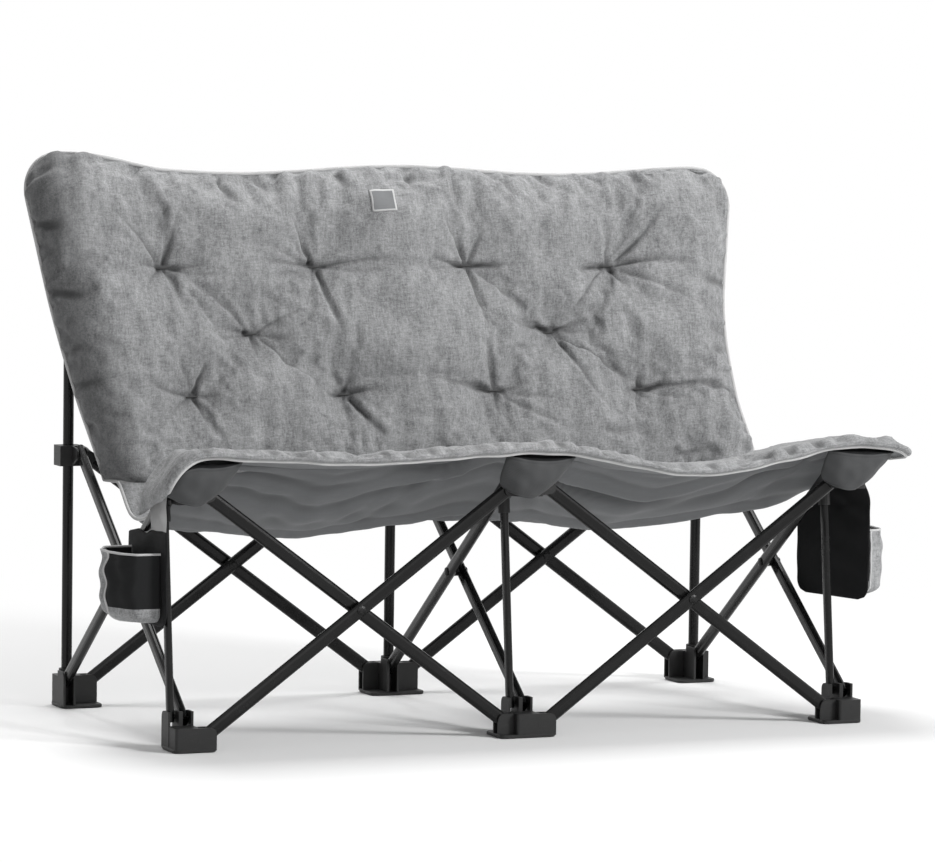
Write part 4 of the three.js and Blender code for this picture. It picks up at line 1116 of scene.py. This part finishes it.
class LOVESEAT_OT_seat_sling(bpy.types.Operator):
    """Builds the sling of the seat"""

    bl_idname = "loveseat.seat_sling"
    bl_label = "Seat sling"

    def execute(self, context):
        sizes = context.scene.loveseat_seat
        back = context.scene.loveseat_back
        start = seat_share(SEAM_Y + SEAM_GAP, back)
        _, _, middle, normal, half, top, soft = seat_panel(SLING_ALONG, start, 1, sizes, back, 0.03, 0.008)
        x, y = middle[..., 0], middle[..., 1]
        top = top + facing(top) * (SLING_SWELL * soft * hills(52, x, y, 0.10))[..., None]
        pulls = self.pulls(x, y)
        waves = ripple(54, y + 0.22 * np.abs(np.abs(x) - PITCH / 2), 0.110, 0.035)
        low_relief = soft * (UNDER_FOLD * np.clip(pulls, -0.8, 1.2) + UNDER_WAVE * waves)
        low_relief += soft * UNDER_SWELL * hills(53, x, y, 0.12)
        low = middle - normal * (half - low_relief)[..., None]
        # Painted shade below the sling, in the grooves of its folds and waves
        low_shade = np.clip(0.80 * pulls + 0.45 * waves, 0, 0.62) * soft
        pad = pad_piece("seat_sling_pad", top, low, PAD_FACES, 0 * x, low_shade)
        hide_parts("seat_sling")
        trim = tube_piece("sling_piping", [middle[:, 0], middle[:, -1]], SLING_PIPING, "binding_tape")
        for piece in (pad, trim):
            gather(piece, "seat")
        return {"FINISHED"}

    def pulls(self, x, y):
        """Folds below the sling that run out from the middle joint and from the end ones."""
        draw = np.random.default_rng(17)
        total = np.zeros_like(x)
        for bay in SIDES.values():
            for step in range(UNDER_FOLDS):
                joint_y = SEAM_Y - 0.02 + 0.01 * step
                to_edge = (bay * (0.20 + 0.065 * step), SEAM_Y + 0.26 - 0.030 * step)
                depth = 0.5 + 0.5 * draw.random()
                total += depth * fold(x, y, (bay * 0.05, joint_y), to_edge, UNDER_WIDTH, UNDER_BOW)
                to_middle = (bay * (0.50 - 0.06 * step), SEAM_Y + 0.31 - 0.03 * step)
                depth = 0.3 + 0.4 * draw.random()
                total += depth * fold(x, y, (bay * 0.60, joint_y), to_middle, UNDER_WIDTH, -UNDER_BOW)
        return total


# Front pockets: their shift to the right, the share that hangs open, and their lean to the left
POCKET_FACES = ("pocket_cloth", "gusset_cloth")
POCKET_ACROSS = 44
POCKET_ALONG = 40
POCKET_SHIFTS = {"left": 0.024, "middle": 0.010, "right": 0.004}
POCKET_MOUTH = 0.2
POCKET_LEAN = 0.026
POCKET_BULGE = 0.008
POCKET_RECESS = 0.016
RECESS_ENDS = (0.10, 0.09)
POCKET_WRAP = 0.018
POCKET_WRINKLE = 0.0012
POCKET_HEM = 0.0006
POCKET_FORWARD = 0.016
POCKET_BACK = 0.004
MOUTH_GAP = 0.002
FOOT_DROP = 0.004
FOOT_CURVE = 0.010


class LOVESEAT_OT_pockets(bpy.types.Operator):
    """Builds the cloth pockets that hold the top joints"""

    bl_idname = "loveseat.pockets"
    bl_label = "Front pockets"

    def execute(self, context):
        sizes = context.scene.loveseat_seat
        back = context.scene.loveseat_back
        u, w = spread(POCKET_ACROSS, POCKET_ALONG)
        below = np.clip((w - POCKET_MOUTH) / (1 - POCKET_MOUTH), 0, 1)
        # The top band of each pocket takes the near-black gusset cloth, a painted shadow inside the gaping
        # mouth
        inside = (w[:-1, :-1] < POCKET_MOUTH - 0.01).astype(int).ravel()
        half = lerp(sizes.pocket_half, sizes.pocket_tip, below) * (1 - 0.35 * below**6)
        bulge = POCKET_BULGE * (1 - u**2) * np.sin(math.pi * np.clip(below, 0, 0.9))
        recess = POCKET_RECESS * (1 - eased(w, *RECESS_ENDS))
        hem = bell(below - 0.94, 0.02) + bell(below - 0.06, 0.02)
        for column, middle_x in COLUMNS.items():
            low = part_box(f"front_pocket_{column}")[0]
            x = middle_x + POCKET_SHIFTS[column] - POCKET_LEAN * below + u * half
            y = lerp(low.y - POCKET_FORWARD, low.y + POCKET_BACK, below) - bulge + recess
            y = y + POCKET_WRAP * np.abs(u) ** 3
            y = y + POCKET_WRINKLE * hills(61, x, w * 0.08, 0.035)
            top = seat_at(x, y, sizes, back) - sizes.crown
            mouth = top - MOUTH_GAP - sizes.pocket_gape * (1 - u**2)
            foot = low.z - FOOT_DROP + FOOT_CURVE * (u - 0.2) ** 2
            z = lerp(lerp(top, mouth, np.clip(w / POCKET_MOUTH, 0, 1)), foot, below)
            points = np.stack([x, y, z], axis=-1)
            points = points + facing(points) * (POCKET_HEM * hem)[..., None]
            name = f"cloth_pocket_{column}"
            # Painted shade along the two hems, carried as the crease attribute
            patch = layer_piece(name, points, sizes.cloth, POCKET_FACES, inside, 0.3 * hem)
            declare_cloth(points)
            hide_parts(f"front_pocket_{column}")
            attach(patch, f"top_joint_{column}")
        return {"FINISHED"}


# Flaps: how far back they hang from their solids, and how far they swing out, in degrees
FLAP_FACES = ("gusset_cloth", "binding_tape")
FLAP_ACROSS = 30
FLAP_ALONG = 60
FLAP_SHIFTS = {"left": -0.050, "right": 0.0}
FLAP_SWINGS = {"left": 0.0, "right": 15.0}
FLAP_CORNER = 0.026
FLAP_SHOULDER = 0.147
FLAP_SLOPE = 0.03
SWING_FADE = 0.12
FLAP_TUCK = 0.004
FLAP_CRUMPLE = 0.0012
STRAP_WIDTHS = {"left": 0.080, "right": 0.150}
STRAP_START = 0.165
STRAP_CRUMPLE = 0.0024

# Pouches: pale between two of their seams and along the foot, with an outer face between two flat gussets
POUCH_FACES = ("gusset_cloth", "heather_melange")
POUCH_AROUND = 60
POUCH_ALONG = 36
POUCH_SEAMS = {"left": (28, 49), "right": (5, 55)}
POUCH_FOOT = 0.2
POUCH_OUTER = 0.62
POUCH_GUSSET = 0.38
POUCH_OFF = 0.002
POUCH_CRUMPLE = 0.0030
POUCH_HEM = 0.0008
POUCH_PIPING = 0.0022
POUCH_SEAM_OFF = 0.0012


def swung(points, side):
    """A flap or a pouch, swung out about the flap's rear edge, but not where it hangs from the seat."""
    low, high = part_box(f"side_flap_{side}")
    hinge = np.array([(low.x + high.x) / 2, high.y])
    angle = math.radians(FLAP_SWINGS[side]) * smooth((high.z - points[..., 2]) / SWING_FADE)
    x, y = np.moveaxis(points[..., :2] - hinge, -1, 0)
    turned = points.copy()
    turned[..., 0] = hinge[0] + x * np.cos(angle) - y * np.sin(angle)
    turned[..., 1] = hinge[1] + x * np.sin(angle) + y * np.cos(angle)
    return turned


class LOVESEAT_OT_pouches(bpy.types.Operator):
    """Builds the flaps and drink pouches at the seat's sides"""

    bl_idname = "loveseat.pouches"
    bl_label = "Side pouches"

    def execute(self, context):
        for side, way in SIDES.items():
            flap, flap_points = self.flap(context, side, way)
            pouch, pouch_points, trim = self.pouch(context, side, way)
            declare_cloth(flap_points)
            declare_cloth(pouch_points)
            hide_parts(f"side_flap_{side}")
            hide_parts(f"side_pouch_{side}")
            for piece in (flap, pouch, trim):
                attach(piece, f"top_joint_{side}")
        return {"FINISHED"}

    def flap(self, context, side, way):
        """The flap: a strap that widens to a panel behind the pouch."""
        sizes = context.scene.loveseat_seat
        back = context.scene.loveseat_back
        low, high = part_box(f"side_flap_{side}")
        u, w = spread(FLAP_ACROSS, FLAP_ALONG)
        z = lerp(low.z, high.z, w)
        shoulder = low.z + FLAP_SHOULDER
        cut = FLAP_CORNER * (1 - rounded((z - low.z) / FLAP_CORNER))
        narrow = eased(z, shoulder, FLAP_SLOPE)
        rear = lerp(high.y - cut, low.y + STRAP_WIDTHS[side], narrow)
        y = lerp(low.y + cut, rear, (u + 1) / 2) + FLAP_SHIFTS[side]
        crumple = FLAP_CRUMPLE * hills(71, y, z, 0.06)
        crumple = crumple + STRAP_CRUMPLE * narrow * (1 - u**2) * hills(72, y, z, 0.055)
        x = np.full_like(y, way * abs(low.x + high.x) / 2) + way * crumple
        top = seat_at(x, y, sizes, back) - FLAP_TUCK
        rise = np.clip((z - shoulder) / (high.z - shoulder), 0, 1)
        points = np.stack([x, y, np.where(z < shoulder, z, lerp(shoulder, top, rise))], axis=-1)
        points = swung(points, side)[:, ::way]
        strap = (0.5 * (w[:-1, :-1] + w[1:, 1:]) * (high.z - low.z) > STRAP_START).astype(int).ravel()
        flap = layer_piece(f"cloth_flap_{side}", points, sizes.cloth, FLAP_FACES, strap, rear_slots=0 * strap)
        return flap, points

    def pouch(self, context, side, way):
        """The pouch: an outer face between two gussets, and piping along its seams and its mouth."""
        sizes = context.scene.loveseat_seat
        low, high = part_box(f"side_pouch_{side}")
        inner = low.x if way > 0 else -high.x
        depth = high.x - low.x
        half = (high.y - low.y) / 2
        middle_y = (low.y + high.y) / 2 + FLAP_SHIFTS[side]
        turn = np.linspace(-1, 1, POUCH_AROUND + 1)
        flat = np.abs(turn) > POUCH_OUTER
        gusset = np.clip((1 - np.abs(turn)) / POUCH_GUSSET, 0, 1)
        swing = np.clip(turn / POUCH_OUTER, -1, 1) * math.pi / 2
        out = np.where(flat, POUCH_OUTER * gusset, POUCH_OUTER + POUCH_GUSSET * np.cos(swing)) * depth
        bowed = np.sin(swing) * 0.5 + 0.5 * np.sign(turn) * np.abs(turn / POUCH_OUTER)
        along = np.where(flat, np.sign(turn), bowed) * half
        share = np.linspace(0, 1, POUCH_ALONG + 1)[:, None]
        height = lerp(low.z, high.z, share)
        floor = rounded(share / 0.16)
        belly = 1 - 0.05 * (1 - share) + sizes.pouch_lean / depth * np.sin(math.pi * share) ** 2
        x = inner + POUCH_OFF + np.maximum(out * belly, 0) * lerp(0.35, 1.0, floor)
        y = middle_y + along * lerp(0.55, 1.0, floor) * np.ones_like(share)
        z = height + 0 * y
        x = x + POUCH_CRUMPLE * np.minimum(out / depth, 1) * hills(81, y, z, 0.05)
        points = np.stack([way * (x + POUCH_HEM * bell(share - 0.96, 0.02)), y, z], axis=-1)
        points = swung(points, side)
        centre = 0.5 * (turn[:-1] + turn[1:])
        first, last = POUCH_SEAMS[side]
        pale = (centre > turn[first]) & (centre < turn[last]) | (share[:-1] < POUCH_FOOT)
        outward = way * facing(points)
        seams = [points[:, k] + POUCH_SEAM_OFF * outward[:, k] for k in (first, last)] + [points[-1]]
        points = points[:, ::way]
        slots = pale[:, ::way].astype(int).ravel()
        pouch = layer_piece(f"cloth_pouch_{side}", points, sizes.cloth, POUCH_FACES, slots)
        trim = tube_piece(f"pouch_piping_{side}", seams, POUCH_PIPING, "binding_tape")
        return pouch, points, trim


# Frame
FRAME_FINISHES = {
    "black_tube": "black_powder_coat",
    "black_plastic": "moulded_black_plastic",
    "rivet_steel": "plated_rivet",
}
SHARP_EDGE = math.radians(34)


class LOVESEAT_OT_frame_finish(bpy.types.Operator):
    """Paints the tubes, joints and rivets"""

    bl_idname = "loveseat.frame_finish"
    bl_label = "Frame finish"

    def execute(self, context):
        for part in frame["record"]["subparts"]:
            finish = FRAME_FINISHES.get(part["material_slot"])
            if finish is None:
                continue
            node = frame["nodes"][part["node"]]
            node.data.materials.clear()
            node.data.materials.append(finishes()[finish])
            node.data.shade_smooth()
            node.data.set_sharp_from_angle(angle=SHARP_EDGE)
        return {"FINISHED"}


# Stage: lamps as place, size and power, and the floor's shadow ring, which ends in white
LAMPS = {
    "key": ((3.8, -4.9, 3.75), 1.6, 425),
    "fill": ((-1.2, -5.0, 2.4), 3.0, 30),
    "top": ((0.0, 1.3, 4.2), 2.4, 135),
}
LAMP_AIM = Vector((0, 0, 0.45))
AMBIENT = 0.32
FLOOR_REACH = 160.0
FLOOR_DROP = 0.0005
SHADOW_RING = (0.9, 2.4)
CAMERA_AIM = Vector((0.0185, POST_Y - PITCH / 2, 0.5023))
CAMERA_SENSOR = 36
CAMERA_REACH = 400


class LOVESEAT_OT_stage(bpy.types.Operator):
    """Sets the floor, the lights and the camera"""

    bl_idname = "loveseat.stage"
    bl_label = "Stage"

    def execute(self, context):
        self.floor(context)
        self.world(context)
        for name, (place, size, power) in LAMPS.items():
            self.lamp(name, place, size, power)
        self.camera(context)
        context.scene.view_settings.view_transform = "Standard"
        return {"FINISHED"}

    def floor(self, context):
        """A wide pale floor that keeps the shadow and turns white away from the seat."""
        corners = [(x * FLOOR_REACH, y * FLOOR_REACH, 0) for x, y in ((-1, -1), (1, -1), (1, 1), (-1, 1))]
        mesh = bpy.data.meshes.new("floor")
        mesh.from_pydata(corners, [], [(0, 1, 2, 3)])
        floor = linked("floor", mesh)
        floor.location.z = -FLOOR_DROP
        paint = Finish(bpy.data.materials.new("pale_floor"))
        paint.set(Base_Color=solid(context.scene.loveseat_colours.floor), Roughness=0.9)
        distance = paint.node("ShaderNodeVectorMath", {"operation": "LENGTH"}, {0: paint.place()}, "Value")
        ring = {0: distance, 1: SHADOW_RING[0], 2: SHADOW_RING[1]}
        far = paint.node("ShaderNodeMapRange", {"interpolation_type": "SMOOTHSTEP"}, ring)
        glow = paint.node("ShaderNodeEmission", inputs={"Strength": 1.0})
        surface = Value(paint, paint.shader.outputs[0])
        mixed = paint.node("ShaderNodeMixShader", inputs={0: far * paint.in_view(), 1: surface, 2: glow})
        paint.feed(paint.tree.nodes["Material Output"].inputs["Surface"], mixed)
        mesh.materials.append(paint.material)

    def world(self, context):
        """White where it is in view, and a plain grey light elsewhere."""
        studio = bpy.data.worlds.new("studio")
        sky = Finish(studio, "Background")
        sky.set(Color=(1, 1, 1, 1), Strength=AMBIENT + (1 - AMBIENT) * sky.in_view())
        context.scene.world = studio

    def lamp(self, name, place, size, power):
        """A soft square lamp that looks at the seat."""
        light = bpy.data.lights.new(name, "AREA")
        light.size = size
        light.energy = power
        lamp = linked(name, light)
        lamp.location = place
        lamp.rotation_euler = (LAMP_AIM - Vector(place)).to_track_quat("-Z", "Y").to_euler()

    def camera(self, context):
        """The photograph's viewpoint."""
        view = context.scene.loveseat_stage
        lens = bpy.data.cameras.new("camera")
        lens.sensor_width = CAMERA_SENSOR
        lens.lens = view.lens
        lens.clip_end = CAMERA_REACH
        camera = linked("camera", lens)
        level = math.cos(view.elevation)
        ahead = -math.cos(view.azimuth) * level
        away = Vector((math.sin(view.azimuth) * level, ahead, math.sin(view.elevation)))
        camera.location = CAMERA_AIM + away * view.distance
        camera.rotation_mode = "QUATERNION"
        turn = Quaternion((0, 0, 1), view.roll)
        camera.rotation_quaternion = (-away).to_track_quat("-Z", "Y") @ turn
        context.scene.camera = camera


PIECES = (
    LOVESEAT_OT_back_pad,
    LOVESEAT_OT_sleeves,
    LOVESEAT_OT_seat_lip,
    LOVESEAT_OT_seat_sling,
    LOVESEAT_OT_pockets,
    LOVESEAT_OT_pouches,
    LOVESEAT_OT_frame_finish,
    LOVESEAT_OT_stage,
)


class LOVESEAT_PT_pieces(bpy.types.Panel):
    """Lists the pieces of the loveseat"""

    bl_label = "Folding loveseat"
    bl_idname = "LOVESEAT_PT_pieces"
    bl_space_type = "VIEW_3D"
    bl_region_type = "UI"
    bl_category = "Loveseat"

    def draw(self, context):
        for piece in PIECES:
            self.layout.operator(piece.bl_idname)


GROUPS = {
    "loveseat_back": LoveseatBackSizes,
    "loveseat_seat": LoveseatSeatSizes,
    "loveseat_colours": LoveseatColours,
    "loveseat_stage": LoveseatStage,
}


def register():
    """Adds the classes and the settings to Blender."""
    for kind in (*GROUPS.values(), *PIECES, LOVESEAT_PT_pieces):
        bpy.utils.register_class(kind)
    for name, kind in GROUPS.items():
        setattr(bpy.types.Scene, name, PointerProperty(type=kind))


def unregister():
    """Takes them out again."""
    for name in GROUPS:
        delattr(bpy.types.Scene, name)
    for kind in reversed((*GROUPS.values(), *PIECES, LOVESEAT_PT_pieces)):
        bpy.utils.unregister_class(kind)


def main():
    """Builds every piece."""
    register()
    for piece in PIECES:
        group, name = piece.bl_idname.split(".")
        getattr(getattr(bpy.ops, group), name)()


if __name__ == "__main__":
    main()
